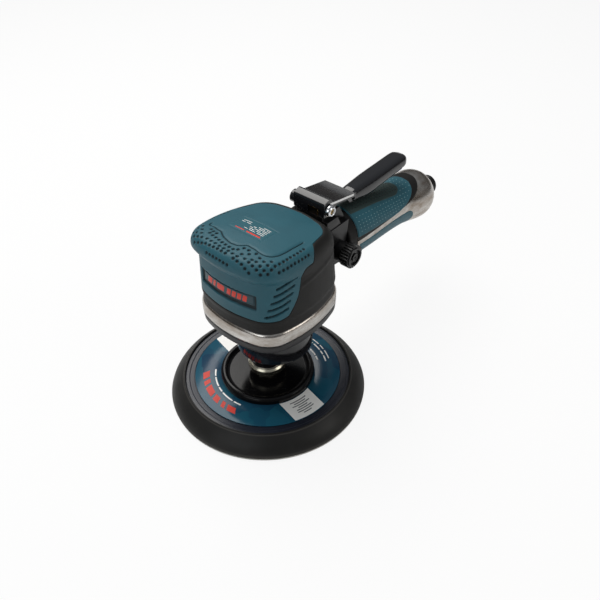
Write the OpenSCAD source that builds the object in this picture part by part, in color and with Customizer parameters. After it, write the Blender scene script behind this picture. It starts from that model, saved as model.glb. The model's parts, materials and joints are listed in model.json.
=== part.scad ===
// Air-driven dual-action orbital sander, 150 mm pad.
// Frame: Z up, origin on the motor axis at the pad's sanding face, +X along the
// handle towards the air inlet. Millimetres.

/* [Pad] */
// Diameter of the sanding face
pad_d = 150; // [140:1:160]
// Diameter of the pad's upper shoulder
shoulder_d = 130; // [126:1:134]
// Height of the pad's shoulder above the sanding face
pad_h = 16; // [14:0.5:19]
// Thickness of the hook face
hook_t = 1.2; // [0.8:0.1:2]
// Height of the bottom of the stiff backing plate
plate_z = 9; // [8:0.5:10]
// Diameter of the stiff backing plate
plate_d = 126; // [122:1:128]
// Diameter of the printed label
label_d = 111.4; // [104:0.2:114]
// Thickness of the printed label
label_t = 0.5; // [0.3:0.1:0.8]
// Diameter of the metal hub ring
hub_d = 71.6; // [66:0.2:76]
// Height of the hub ring above the label
hub_h = 5; // [4:0.5:6]

/* [Spindle] */
// Offset of the pad axis from the motor axis
orbit_r = 5; // [4:0.25:5.5]
// Direction of that offset, turned from +X
orbit_angle = 160; // [0:5:355]
// Diameter of the threaded stud
stud_d = 7.94; // [7.5:0.01:8.5]
// Size across the flats of the pad spindle's wrench collar
wrench_af = 17; // [16:0.5:19]
// Diameter of the pad spindle's round collar
collar_d = 28.6; // [26:0.2:30]
// Height of the round collar
collar_h = 6.5; // [5:0.5:8]
// Diameter of the black shield above the collar
shield_d = 23; // [21:0.5:25]
// Bore of the main and pad ball bearings
bearing_bore = 12; // [11:0.5:13]
// Outside diameter of the main and pad ball bearings
bearing_od = 28; // [26:0.5:30]
// Width of one main or pad ball bearing
bearing_w = 8; // [7:0.5:9]
// Diameter of the counterweight
weight_d = 56.6; // [55:0.2:58]
// Height of the counterweight's underside above the sanding face
weight_z = 43; // [41:0.5:45]

/* [Motor] */
// Diameter of the bore that holds the motor
motor_bore = 56; // [54:0.5:57]
// Wall of the motor barrel
barrel_wall = 3.8; // [3:0.1:4.2]
// Length of the motor liner
liner_len = 28; // [24:0.5:30]
// Diameter of the liner's off-centre bore
liner_bore = 46; // [45:0.5:47]
// Offset of the liner's bore
liner_offset = 2.5; // [2:0.1:3]
// Number of vanes
vane_count = 5; // [4:1:6]
// Thickness of a vane
vane_t = 1.8; // [1.5:0.1:2.2]
// Thickness of the lower end plate
lower_plate_t = 10; // [9.5:0.5:12]
// Thickness of the upper end plate
upper_plate_t = 8; // [7.5:0.5:9]
// Bore of the upper ball bearing
top_bearing_bore = 8; // [7:0.5:9]
// Outside diameter of the upper ball bearing
top_bearing_od = 22; // [20:0.5:24]
// Width of the upper ball bearing
top_bearing_w = 7; // [6:0.5:7]

/* [Head] */
// Length of the aluminium band, along the handle
band_len = 81.2; // [80:0.2:86]
// Width of the aluminium band
band_wid = 77.2; // [76:0.2:82]
// Corner radius of the band
corner_r = 20.7; // [19:0.1:22]
// Angle that a bowed side of the band turns through at each corner
corner_turn = 15; // [13:0.5:17]
// Height of the band's lower edge
band_z = 81.7; // [80:0.1:83]
// Height of the band
band_h = 10.4; // [9:0.2:12]
// Thickness of the lower flange
flange_t = 6.2; // [5.5:0.1:7]
// Thickness of the flange gasket
gasket_t = 0.5; // [0.3:0.1:0.8]
// Size of the flange screws
flange_screw_d = 4; // [3.5:0.5:4.5]
// Height of the lip under the head's crown, above the motor axis
lip_z = 134.8; // [133:0.2:137]
// Fall of the lip and the crown towards the handle
crown_fall = 8; // [7:0.5:9]
// Height of the crown's rounded edge
crown_edge_h = 9.9; // [9:0.1:11]
// Extra height of the crown's middle
crown_rise = 3; // [2:0.1:4]
// Wall of the coloured shell
shell_t = 2.2; // [1.8:0.1:2.4]
// Wall of the black cover under it
cover_t = 2; // [1.8:0.1:2.2]
// Width of the side vents
vent_w = 2; // [1.6:0.1:2.6]

/* [Handle] */
// Height of the handle's axis above the motor axis
handle_z = 111.6; // [110:0.2:113]
// Fall of the handle's axis
handle_fall = 7.9; // [7:0.1:8.5]
// Length from the motor axis to the front of the grip
grip_start = 75; // [74:0.5:77]
// Length from the motor axis to the end of the handle
handle_end = 190.7; // [186:0.5:196]
// Diameter of the grip at its front
front_d = 42.4; // [41:0.2:43]
// Diameter of the grip at its waist
waist_d = 36.2; // [34:0.2:38]
// Largest diameter of the bulb
bulb_d = 42; // [40:0.2:44]
// Diameter of the handle's rear face
rear_d = 27; // [25:0.5:30]
// Thickness of the black grip sleeve
sleeve_t = 2; // [1.6:0.1:2.4]
// Height of the coloured panel above the sleeve
panel_rise = 0.3; // [0.2:0.1:0.5]
// Outside diameter of the inlet bushing
inlet_d = 17.4; // [16.4:0.2:18.4]
// How far the inlet bushing stands out
inlet_out = 17.5; // [15:0.5:20]
// Diameter of the inlet thread's bore
inlet_bore = 11.5; // [11:0.1:12]
// Diameter of the air passage
air_d = 10; // [8:0.5:10.5]

/* [Valve block] */
// Width of the valve block
block_wid = 34; // [33:0.5:36]
// Width of the raised valve head between the lever's cheeks
valve_head_wid = 23.8; // [23:0.2:24.6]
// Diameter of the lever's pivot pin
pivot_d = 4; // [3.5:0.5:4.5]
// Distance of the pivot from the motor axis
pivot_x = 48.25; // [48:0.25:48.5]
// Height of the pivot
pivot_z = 140.25; // [139.75:0.25:140.75]
// Diameter of the throttle stem
stem_d = 4; // [3.5:0.5:5]
// Distance of the throttle stem from the pivot
stem_x = 13.25; // [13:0.25:13.75]
// Diameter of the regulator knob
knob_d = 18; // [17:0.5:19]
// Length of the regulator knob
knob_len = 8.7; // [8:0.1:10]
// Distance of the regulator from the motor axis
knob_s = 57; // [56:0.5:57.5]
// Number of ribs round the knob
knob_ribs = 24; // [18:1:28]

/* [Lever] */
// Thickness of the lever's stamped sheet
hood_t = 1.6; // [1.4:0.1:1.8]
// Length of the lever's hood
hood_len = 36.8; // [36:0.2:38]
// Length of the lever from the pivot to its tip
lever_len = 110.5; // [108:0.5:113]
// Width of the moulded lever
lever_wid = 16; // [15:0.5:17]
// How far the lever turns before it stops
lever_travel = 2.75; // [2:0.25:3]

/* [Hidden] */

fine = 96;              // facets of a large round
mid = 48;               // facets of a small round
eps = 0.01;             // overshoot of a cut past the face it opens
gap = 0.3;              // air between pieces that move past each other
slip = 0.05;            // radial clearance of a running fit
seat = 0.02;            // clearance of a piece that sits in a pocket

pad_r = pad_d / 2;
plate_t = pad_h - plate_z - 2;          // the plate's rim lies 2 below the shoulder
plate_top = plate_z + plate_t;
label_z = plate_top - label_t;
hub_top = label_z + label_t + hub_h;
hub_floor = hub_top - 3;
boss_r = 9;
boss_z = 4;
orbit_x = orbit_r * cos(orbit_angle);
orbit_y = orbit_r * sin(orbit_angle);

wrench_h = 5;
wrench_z = hub_floor;
collar_z = wrench_z + wrench_h;
washer_z = collar_z + collar_h;
washer_t = 1;
shield_z = washer_z + washer_t;
bearing_r = bearing_od / 2;
shaft_r = bearing_bore / 2;
weight_r = weight_d / 2;
weight_shift = orbit_r / 2;             // the weight's rim leans away from the pad axis
pad_bearing_z = weight_z + 1;
pad_pocket_top = pad_bearing_z + 2 * bearing_w + 1;
flange_z = band_z - gasket_t - flange_t;
weight_top = flange_z - 0.7;
shaft_z = pad_pocket_top + 2;

motor_r = motor_bore / 2;
barrel_r = motor_r + barrel_wall;
lock_t = 1.3;
lower_plate_z = band_z + lock_t;
liner_z = lower_plate_z + lower_plate_t;
liner_top = liner_z + liner_len;
motor_top = liner_top + upper_plate_t;
barrel_top = motor_top + 2.6;
rotor_r = liner_bore / 2 - liner_offset - gap;
vane_depth = 9;
key_w = 3;
key_h = 2.4;
key_len = 14;
top_shaft_r = top_bearing_bore / 2;
shaft_top = motor_top - 0.6;

band_top = band_z + band_h;
flange_in = 0.3;                        // flange outline inside the band's
screw_in = 14.3;                        // the flange screws lie this far inside the sides
screw_x = band_len / 2 - screw_in;
screw_y = band_wid / 2 - screw_in;

crown_slope = tan(crown_fall);
crown_back = -1.9;                      // the crown's centre, ahead of the motor axis
crown_taper = 4;                        // the crown is this much narrower at the back
wall_in = 1.2;                          // the black wall stands inside the band
shell_z = band_top + 9.4;               // lower edge of the coloured shell
wall_lean = 1.9;                        // how far the wall stands inside the band under the lip
lip_flare = 7;                          // height over which the wall swells out to the lip
neck_y = block_wid / 2 - 1;             // half width of the neck between head and block
neck_z = band_top + 1;                  // underside of the neck
block_x = band_len / 2 + 3.2;           // the block's flat front face, just clear of the band
block_top = 124.5;
block_bottom = 92.5;

lever_rest = 0.3;                       // air between the lever and the throttle stem
handle_step = 6;                        // length of one stretch of the handle's outline
front_r = front_d / 2;
waist_s = 147.9;
waist_r = waist_d / 2;
bulb_s = handle_end - 13.2;
bulb_r = bulb_d / 2;
rear_r = rear_d / 2;
collar_s = grip_start - 9.6;
collar_round = 3.4;
sleeve_end = 170.6;
sleeve_half = 86;                       // half angle that the black sleeve wraps
panel_half = 78;
patch_half = 32;
strip_end = 158;
cover_power = 2.5;                      // roundness of a cover's rear end: 2 is an ellipse
inlet_thread_r = inlet_d / 2 - 0.8;
inlet_in = 18;                          // length of the bushing inside the handle
inlet_s = handle_end + inlet_out;

valve_top = 134;
valve_x = pivot_x + stem_x;
stem_r = stem_d / 2;
bush_r = stem_r + 3;
chamber_r = bush_r - 0.6;
chamber_z = 109;
chamber_h = 9;
disc_z = chamber_z + chamber_h - 2.4;
spring_wire = 0.9;
knob_z = handle_z - knob_s * sin(handle_fall);
knob_x = knob_s * cos(handle_fall);
knob_r = knob_d / 2;
knob_y = block_wid / 2 + 6.8;
knob_boss_r = knob_r - 1.5;             // boss on the block that carries the knob
spool_r = 4.5;
pivot_r = pivot_d / 2;

cheek_in = valve_head_wid / 2 + gap;    // inside of the lever's cheeks
cheek_out = cheek_in + hood_t;
hinge_r = 4.7;                          // boss that closes the pin hole on the far cheek
fold_r = 1.8;
fold_z = pivot_z + 7;                   // top of the hood's front, just behind its fold
crest_r = 2.6;
crest_z = pivot_z + 8.2;                // highest line of the hood, over the pivot
hood_front = pivot_x - 5.05;
hood_back = hood_front + hood_len;
hood_top = pivot_z + 4.45;               // top of the hood's plate just behind its bead
hood_fall = 10.5;
arm_z = pivot_z - 12.8;                 // height of the moulded lever's axis at its front
arm_rise = 1.9;                         // the moulded lever climbs by this angle
sleeve_x = 86;
tip_x = pivot_x + lever_len;

seal_r = 12;
screw_head_r = flange_screw_d * 0.875;
screw_head_h = flange_screw_d;
dowel_r = 1;
dowel_x = motor_r - 2.4;
badge_wid = 49.6;
badge_h = 11.3;
badge_z = shell_z + 10.9;
badge_in = 1.5;                         // how far the badge's face stands inside the band
badge_t = 0.8;
data_len = 16;
data_wid = 29;
data_x = -9;
boss_out = 17;
boss_s = collar_s - 3;                  // the round boss starts just ahead of the collar
tail_r = 13;
tail_len = 15;
spool_in = 8;
spool_stub_r = 3;
seal_y = 12;
knob_screw_r = 1.5;
knob_screw_head_r = 2.4;
ear_t = 4.8;
ear_r = pivot_r + 0.95;
cap_r = 4.5;
cap_len = 3.4;
boss_len = 4.2;
head_foot_z = block_top + 8;            // top of the valve head's wide foot
torsion_wire = 0.9;
cheek_drop = 4.6;
hood_edge = 3.2;                        // height of the folded edge beside the hood's plate
bush_z = chamber_z + chamber_h;
arm_wid = 11;
arm_t = 3;
arm_len = 45;
sleeve_low = 7.2;
sleeve_top = 6.3;
sleeve_rise = 0.35;
panel_t = 0.9;
panel_start = grip_start + 0.6;
panel_end = sleeve_end - 9.4;
panel_round = 43;                       // length over which the panel's rear end is rounded
sleeve_round = 26;
patch_start = panel_start + 7;
patch_end = panel_end - 14;
patch_round = 14;
patch_in = 0.4;                         // depth of the patch's pocket in the panel
patch_out = 0.4;                        // how far the patch stands proud of the panel
patch_foot = sleeve_rise + panel_rise - patch_in;
strip_start = grip_start + 4;
strip_a0 = 93;
strip_a1 = 152;
inlet_thread = 14;
screen_r = inlet_bore / 2 - 0.8;
stem_top = hood_line(valve_x + stem_r, hood_t)[1] - lever_rest;

// A value that runs smoothly from a to b as t goes from 0 to 1.
function blend(a, b, t) = a + (b - a) * (1 - cos(180 * max(0, min(1, t)))) / 2;

// Radius of the handle at distance s from the motor axis: it narrows from the front to
// the waist, swells to the bulb, and rounds off to the rear face as a quarter ellipse.
function handle_r(s) =
    s < waist_s ? blend(front_r, waist_r, (s - grip_start) / (waist_s - grip_start)) :
    s < bulb_s ? blend(waist_r, bulb_r, (s - waist_s) / (bulb_s - waist_s)) :
    rear_r + (bulb_r - rear_r) * sqrt(max(0, 1 - pow((s - bulb_s) / (handle_end - bulb_s), 2)));

// One corner and one side of a rounded rectangle with bowed sides. l and w are the half
// sizes at the corner arcs. Each side turns through corner_turn at both ends, so it leaves
// the arcs without a kink, and it is a parabola between them.
function quarter(l, w, r, q) =
    let (sx = (q == 0 || q == 3) ? 1 : -1, sy = q < 2 ? 1 : -1,
         ex = (q == 0 || q == 1) ? -1 : 1, ey = (q == 1 || q == 2) ? -1 : 1,
         a0 = 90 * q + corner_turn, a1 = 90 * q + 90 - corner_turn, out = 90 * q + 90,
         c = [sx * (l - r), sy * (w - r)],
         p0 = c + r * [cos(a1), sin(a1)],
         p1 = [ex * (l - r), ey * (w - r)] + r * [cos(out + corner_turn), sin(out + corner_turn)],
         bow = norm(p1 - p0) * tan(corner_turn) / 4)
    concat(
        [for (k = [0 : 6]) let (a = a0 + (a1 - a0) * k / 6) c + r * [cos(a), sin(a)]],
        [for (k = [1 : 5]) p0 + (p1 - p0) * k / 6
            + bow * 4 * (k / 6) * (1 - k / 6) * [cos(out), sin(out)]]);

// The outline, inset by d on every side.
function outline(l, w, r, d) =
    [for (q = [0 : 3]) each quarter(l - d, w - d, max(r - 0.6 * d, 3), q)];

function band_outline(d) = outline(band_len / 2, band_wid / 2, corner_r, d);

// A level ring of the head's wall at height z.
function wall_ring(z, d) = [for (p = band_outline(d)) [p[0], p[1], z]];

// A ring of the crown: the lip's outline, inset by d, lifted by z from the sloping lip.
function crown_ring(z, d) =
    let (l = band_len / 2 + 0.2, w = band_wid / 2 + 0.4)
    [for (p = outline(l, w, corner_r - 2, d))
        let (x = p[0] + crown_back, t = (p[0] / l + 1) / 2)
        [x, p[1] * (1 - crown_taper / w * t), lip_z + z - crown_slope * (x - crown_back)]];

// A ring of the wall that follows the lip's slope, drop below it.
function under_ring(drop, d) =
    [for (p = band_outline(d)) [p[0] - 0.4, p[1], lip_z - drop - crown_slope * p[0]]];

// A ring between the wall and the lip: it swells out faster and faster towards the lip.
function flare_ring(drop, d) =
    let (k = pow(drop / lip_flare, 1.5), low = under_ring(drop, d + wall_lean),
         high = crown_ring(-drop, d))
    [for (i = [0 : len(low) - 1]) low[i] * k + high[i] * (1 - k)];

// The head's skin, inset by d all over, from height z0 to the crown's middle.
function head_rings(d, z0) = concat(
    [wall_ring(z0, d + wall_in), wall_ring(max(z0 + 1, shell_z - 4), d + wall_in)],
    [wall_ring(shell_z, d + 0.7)], [for (k = [1, 0.75, 0.5, 0.25]) flare_ring(lip_flare * k, d)],
    [for (a = [0, 20, 40, 60, 75, 90])
        crown_ring((crown_edge_h - d) * sin(a), d + 7.3 * (1 - cos(a)))],
    [for (k = [0.3, 0.6, 0.85])
        crown_ring(crown_edge_h - d + crown_rise * (1 - pow(1 - k, 2)), d + 7.3 + 27 * k)]);

// A closed body through rings of equally many points, with a flat cap at each end.
module skin(rings) {
    n = len(rings[0]);
    m = len(rings);
    points = [for (r = rings) each r];
    sides = [for (j = [0 : m - 2], i = [0 : n - 1])
        let (a = j * n + i, b = j * n + (i + 1) % n) each [[a, a + n, b], [b, a + n, b + n]]];
    caps = [[for (i = [0 : n - 1]) i], [for (i = [n - 1 : -1 : 0]) (m - 1) * n + i]];
    polyhedron(points, concat(sides, caps), convexity = 6);
}

// The same body as one convex layer after another, for level or tilted convex rings.
module layers(rings) {
    for (j = [0 : len(rings) - 2]) hull() skin([rings[j], rings[j + 1]]);
}

// A round wire of radius r along a list of points.
module wire(path, r, sides = 8) {
    m = len(path);
    skin([for (j = [0 : m - 1])
        let (a = path[max(0, j - 1)], b = path[min(m - 1, j + 1)], t = (b - a) / norm(b - a),
             side = cross(abs(t[2]) > 0.9 ? [1, 0, 0] : [0, 0, 1], t), u = side / norm(side),
             v = cross(t, u))
        [for (k = [0 : sides - 1]) path[j]
            + r * (cos(-360 * k / sides) * u + sin(-360 * k / sides) * v)]]);
}

module at_pad_axis() { translate([orbit_x, orbit_y, 0]) children(); }
module along_y() { rotate([90, 0, 0]) children(); }
module on_handle() {
    translate([0, 0, handle_z]) rotate([0, handle_fall, 0]) rotate([0, 90, 0]) children();
}
module ring(r_in, r_out, h, z = 0) {
    translate([0, 0, z]) difference() {
        cylinder(r = r_out, h = h, $fn = fine);
        translate([0, 0, -eps]) cylinder(r = r_in, h = h + 2 * eps, $fn = fine);
    }
}
// A side view in X and Z, given its thickness along Y about the middle plane.
module side_plate(points, width) {
    translate([0, width / 2, 0]) along_y() linear_extrude(width) polygon(points);
}

// ---- pad -------------------------------------------------------------------
module hook_face() {
    color("dimgray") at_pad_axis() cylinder(r = pad_r - 0.4, h = hook_t, $fn = fine);
}

module pad_skirt() {
    recess_r = plate_d / 2 + seat;
    flank = [for (k = [0 : 5]) let (t = k / 5)
        [pad_r + (shoulder_d / 2 - pad_r) * t + 1.6 * sin(180 * t), 2.6 + (pad_h - 3.4) * t]];
    color([0.23, 0.23, 0.24]) at_pad_axis() rotate_extrude($fn = fine) polygon(concat(
        [[boss_r + seat, hook_t], [pad_r, hook_t]], flank,
        [[shoulder_d / 2 - 0.6, pad_h], [recess_r + 0.3, pad_h],
         [recess_r, plate_top], [recess_r, plate_z], [boss_r + seat, plate_z]]));
}

module backing_plate() {
    r = plate_d / 2;
    label_r = label_d / 2 + 0.3;
    color([0.13, 0.16, 0.22]) at_pad_axis() rotate_extrude($fn = fine) polygon([
        [boss_r + seat, plate_z], [r, plate_z], [r, plate_top - 0.4], [r - 0.4, plate_top + 0.4],
        [r - 2.4, plate_top + 0.4], [r - 3, plate_top], [label_r, plate_top],
        [label_r, label_z], [boss_r + seat, label_z]]);
}

module pad_label() {
    color([0.2, 0.42, 0.53]) at_pad_axis() ring(hub_d / 2 - 3, label_d / 2, label_t, label_z);
}

module pad_hub() {
    r = hub_d / 2;
    color([0.07, 0.08, 0.1]) at_pad_axis() rotate_extrude($fn = fine) polygon([
        [stud_d / 2 + slip, boss_z], [boss_r, boss_z], [boss_r, label_z], [r - 3.2, label_z],
        [r - 3.2, label_z + label_t], [r, label_z + label_t], [r, hub_top - 2],
        [r - 1, hub_top - 0.5], [r - 2, hub_top], [r - 3.4, hub_top],
        [r - 4.2, hub_top - 0.7], [r - 5, hub_floor + 0.6], [r - 6.5, hub_floor],
        [stud_d / 2 + slip, hub_floor]]);
}

module pad_spindle() {
    r = collar_d / 2;
    color([0.78, 0.76, 0.66]) at_pad_axis() union() {
        translate([0, 0, boss_z + 1]) cylinder(r = stud_d / 2, h = wrench_z - boss_z, $fn = mid);
        translate([0, 0, wrench_z]) cylinder(r = wrench_af / sqrt(3), h = wrench_h + 0.2, $fn = 6);
        translate([0, 0, collar_z]) rotate_extrude($fn = fine) polygon([
            [0, 0], [r - 1.2, 0], [r, 1.2], [r, collar_h - 1.6], [r - 1.4, collar_h], [0, collar_h]]);
        translate([0, 0, washer_z - 0.5])
            cylinder(r = shaft_r, h = pad_pocket_top - 0.6 - washer_z, $fn = mid);
    }
}

module spindle_washer() {
    color("silver") at_pad_axis() ring(shaft_r + seat, shield_d / 2 + 0.7, washer_t, washer_z);
}

module spindle_shield() {
    r = shield_d / 2;
    top = weight_z - 0.6;
    color([0.08, 0.08, 0.09]) at_pad_axis() rotate_extrude($fn = fine) polygon([
        [shaft_r + seat, shield_z], [r, shield_z], [r, shield_z + 3], [r - 1, shield_z + 3.6],
        [r - 1, shield_z + 4.6], [r, shield_z + 5.2], [r, top - 1], [r - 1, top],
        [shaft_r + seat, top]]);
}

// ---- spindle -----------------------------------------------------------------
module counterweight() {
    color([0.06, 0.06, 0.07]) difference() {
        translate([-weight_shift * cos(orbit_angle), -weight_shift * sin(orbit_angle), weight_z])
            rotate_extrude($fn = fine) polygon([
                [0, 0], [weight_r - 1.6, 0], [weight_r, 1.6],
                [weight_r, weight_top - weight_z - 0.8],
                [weight_r - 0.8, weight_top - weight_z], [0, weight_top - weight_z]]);
        at_pad_axis() translate([0, 0, weight_z - eps])
            cylinder(r = bearing_r + seat, h = pad_pocket_top - weight_z + eps, $fn = fine);
        translate([0, 0, shaft_z]) cylinder(r = shaft_r + seat, h = 40, $fn = mid);
    }
}

module pad_bearings() {
    color([0.7, 0.72, 0.74]) at_pad_axis() for (k = [0, 1])
        translate([0, 0, k * (bearing_w + 0.02)]) bearing_ring(shaft_r, bearing_r, bearing_w, pad_bearing_z);
}

// A ball bearing as one ring, with the groove of its seal in each face.
module bearing_ring(r_in, r_out, w, z) {
    groove = (r_out - r_in) / 4;
    translate([0, 0, z]) rotate_extrude($fn = fine) polygon([
        [r_in + slip, 0], [r_in + groove, 0], [r_in + groove, 0.4], [r_out - groove, 0.4],
        [r_out - groove, 0], [r_out, 0], [r_out, w], [r_out - groove, w],
        [r_out - groove, w - 0.4], [r_in + groove, w - 0.4], [r_in + groove, w], [r_in + slip, w]]);
}

module bearing_retainer() {
    color("silver") at_pad_axis()
        ring(max(shaft_r + 2, bearing_r - 3), bearing_r, 0.9, weight_z + 0.05);
}

module drive_shaft() {
    color("silver") difference() {
        union() {
            translate([0, 0, shaft_z]) cylinder(r = shaft_r, h = liner_top - shaft_z, $fn = mid);
            translate([0, 0, liner_top - 0.5])
                cylinder(r = top_shaft_r, h = shaft_top - liner_top + 0.5, $fn = mid);
        }
        translate([shaft_r - key_h / 2 - seat, -key_w / 2, liner_z + 4]) cube([key_h, key_w, key_len]);
    }
}

module rotor_key() {
    color("gold") translate([shaft_r - key_h / 2, -key_w / 2 + seat, liner_z + 4 + seat])
        cube([key_h, key_w - 2 * seat, key_len - 2 * seat]);
}

module rotor() {
    h = liner_len - 2 * gap;
    color([0.6, 0.62, 0.65]) translate([0, 0, liner_z + gap]) difference() {
        cylinder(r = rotor_r, h = h, $fn = fine);
        translate([0, 0, -eps]) cylinder(r = shaft_r + seat, h = h + 2 * eps, $fn = mid);
        translate([0, -key_w / 2, -eps]) cube([shaft_r + key_h / 2 + 0.1, key_w, h + 2 * eps]);
        for (k = [0 : vane_count - 1]) rotate(36 + 360 * k / vane_count)
            translate([rotor_r - vane_depth, -vane_t / 2 - seat, -eps])
                cube([vane_depth + 1, vane_t + 2 * seat, h + 2 * eps]);
    }
}

module vanes() {
    color([0.45, 0.3, 0.18]) for (k = [0 : vane_count - 1]) rotate(36 + 360 * k / vane_count)
        translate([rotor_r - vane_depth + 0.2, -vane_t / 2, liner_z + gap])
            cube([vane_depth - 0.2, vane_t, liner_len - 2 * gap]);
}

// ---- motor -------------------------------------------------------------------
module lower_flange() {
    color([0.16, 0.16, 0.17]) difference() {
        skin([for (p = [[0, 1.3], [0.8, 0.6], [flange_t - 1, 0.3], [flange_t, 0]])
            wall_ring(flange_z + p[0], flange_in + p[1])]);
        translate([0, 0, flange_z - eps]) cylinder(r = seal_r + seat, h = flange_t + 1, $fn = fine);
        each_flange_screw() {
            translate([0, 0, flange_z - eps]) cylinder(d = flange_screw_d + 0.3, h = 20, $fn = mid);
            translate([0, 0, flange_z - eps])
                cylinder(r = screw_head_r + 0.15, h = screw_head_h + 0.4, $fn = mid);
        }
    }
}

module each_flange_screw() {
    for (sx = [-1, 1], sy = [-1, 1]) translate([sx * screw_x, sy * screw_y, 0]) children();
}

module flange_gasket() {
    color([0.3, 0.28, 0.22]) difference() {
        translate([0, 0, band_z - gasket_t]) linear_extrude(gasket_t) polygon(band_outline(2));
        translate([0, 0, band_z - 2]) cylinder(r = motor_r, h = 4, $fn = fine);
        each_flange_screw() translate([0, 0, band_z - 2])
            cylinder(d = flange_screw_d + 0.3, h = 4, $fn = mid);
    }
}

module flange_screws() {
    color([0.12, 0.12, 0.12]) each_flange_screw() translate([0, 0, flange_z + 0.3]) difference() {
        union() {
            cylinder(r = screw_head_r, h = screw_head_h, $fn = mid);
            cylinder(d = flange_screw_d, h = flange_t + gasket_t + 7, $fn = mid);
        }
        translate([0, 0, -eps]) cylinder(r = flange_screw_d * 0.42, h = screw_head_h * 0.55, $fn = 6);
    }
}

module dust_seal() {
    color([0.1, 0.1, 0.1]) ring(shaft_r + gap, seal_r, flange_t - 1, flange_z + 0.5);
}

module lock_ring() {
    color("gray") ring(bearing_r - 1.5, motor_r - seat, lock_t - seat, band_z);
}

module motor_housing() {
    color([0.78, 0.79, 0.8]) difference() {
        union() {
            skin([for (p = [[0, 0.3], [0.5, 0], [band_h - 2.2, 0.3], [band_h - 0.9, 0.7],
                            [band_h, 1.5]]) wall_ring(band_z + p[0], p[1])]);
            translate([0, 0, band_z + 2]) cylinder(r = barrel_r, h = barrel_top - band_z - 2, $fn = fine);
            translate([barrel_r - 12, -neck_y, neck_z])
                cube([block_x - barrel_r + 12, 2 * neck_y, block_top - 0.5 - neck_z]);
        }
        translate([0, 0, band_z - 1]) cylinder(r = motor_r, h = motor_top - band_z + 1, $fn = fine);
        each_flange_screw() translate([0, 0, band_z - 1])
            cylinder(d = flange_screw_d, h = 9, $fn = mid);
        // air way from the handle into the motor
        on_handle() translate([0, 0, motor_r - 4]) cylinder(d = air_d - 1, h = block_x, $fn = mid);
    }
}

module lower_end_plate() {
    color([0.55, 0.56, 0.58]) translate([0, 0, lower_plate_z]) difference() {
        cylinder(r = motor_r - seat, h = lower_plate_t, $fn = fine);
        translate([0, 0, -eps]) cylinder(r = bearing_r + seat, h = bearing_w + 0.05, $fn = fine);
        translate([0, 0, -eps]) cylinder(r = shaft_r + gap, h = lower_plate_t + 1, $fn = mid);
        dowel_hole();
    }
}

module lower_bearing() {
    color([0.7, 0.72, 0.74]) bearing_ring(shaft_r, bearing_r, bearing_w - 0.05, lower_plate_z);
}

module motor_liner() {
    color([0.5, 0.52, 0.54]) translate([0, 0, liner_z]) difference() {
        cylinder(r = motor_r - seat, h = liner_len, $fn = fine);
        translate([-liner_offset, 0, -eps]) cylinder(d = liner_bore, h = liner_len + 1, $fn = fine);
        translate([0, 0, -4]) dowel_hole(liner_len + 5);
    }
}

module dowel_hole(h = 60) {
    translate([dowel_x, 0, 3]) cylinder(r = dowel_r + seat, h = h, $fn = mid);
}

module liner_dowel() {
    color("silver") translate([dowel_x, 0, lower_plate_z + 3.2])
        cylinder(r = dowel_r, h = liner_top + 2 - lower_plate_z - 3.2, $fn = mid);
}

module upper_end_plate() {
    color([0.55, 0.56, 0.58]) translate([0, 0, liner_top]) difference() {
        cylinder(r = motor_r - seat, h = upper_plate_t - seat, $fn = fine);
        translate([0, 0, upper_plate_t - top_bearing_w])
            cylinder(d = top_bearing_od + 2 * seat, h = top_bearing_w + 1, $fn = fine);
        translate([0, 0, -eps]) cylinder(r = top_shaft_r + gap, h = upper_plate_t + 1, $fn = mid);
        translate([0, 0, -4]) dowel_hole(3.2);
    }
}

module upper_bearing() {
    color([0.7, 0.72, 0.74])
        bearing_ring(top_shaft_r, top_bearing_od / 2, top_bearing_w - 0.05, motor_top - top_bearing_w);
}

// ---- head covers -----------------------------------------------------------------
// The part of the head that the coloured shell covers: the nose and the front of the
// sides, seen from the side, and the middle of the crown, seen from above.
function under_lip(x) = lip_z - 1.3 - crown_slope * (x - crown_back);

module shell_region() {
    side_plate([[-60, shell_z + 1.1], [-28.4, shell_z + 1.4], [-22, shell_z + 2.6], [-19.5, shell_z + 5],
                [-17.7, shell_z + 7.6], [-13.8, shell_z + 13.7], [-11.7, shell_z + 19.8],
                [-10.3, shell_z + 28], [-9.4, under_lip(-9.4) - 1.5], [-7.5, under_lip(-7.5)],
                [2.6, under_lip(2.6)], [2.6, 200], [-60, 200]], 120);
    edge = [[-20, 36.5], [2.8, 36.5], [7.7, 33.1], [13.3, 31.7], [22.7, 29.1], [28.6, 23.3],
            [32.3, 14.8], [34, 6]];
    translate([0, 0, lip_z - 3]) linear_extrude(60) polygon(concat(
        edge, [for (k = [len(edge) - 1 : -1 : 0]) [edge[k][0], -edge[k][1]]]));
}

module head_cover() {
    color([0.17, 0.17, 0.18]) difference() {
        union() {
            layers(head_rings(shell_t, band_top));
            difference() {
                layers(head_rings(0, band_top));
                shell_region();
            }
        }
        layers(head_rings(shell_t + cover_t, band_top - 3));
        translate([10, -neck_y - seat, band_top - 1])
            cube([60, 2 * (neck_y + seat), block_top - band_top + 1]);
        vents();
    }
}

module front_shell() {
    color([0.25, 0.43, 0.48]) difference() {
        intersection() {
            union() layers(head_rings(0, band_top));
            shell_region();
        }
        layers(head_rings(shell_t - seat, band_top - 3));
        vents();
        nose_band(-4, badge_in + badge_t + seat, 0);
        data_pocket(0.3);
    }
}

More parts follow.
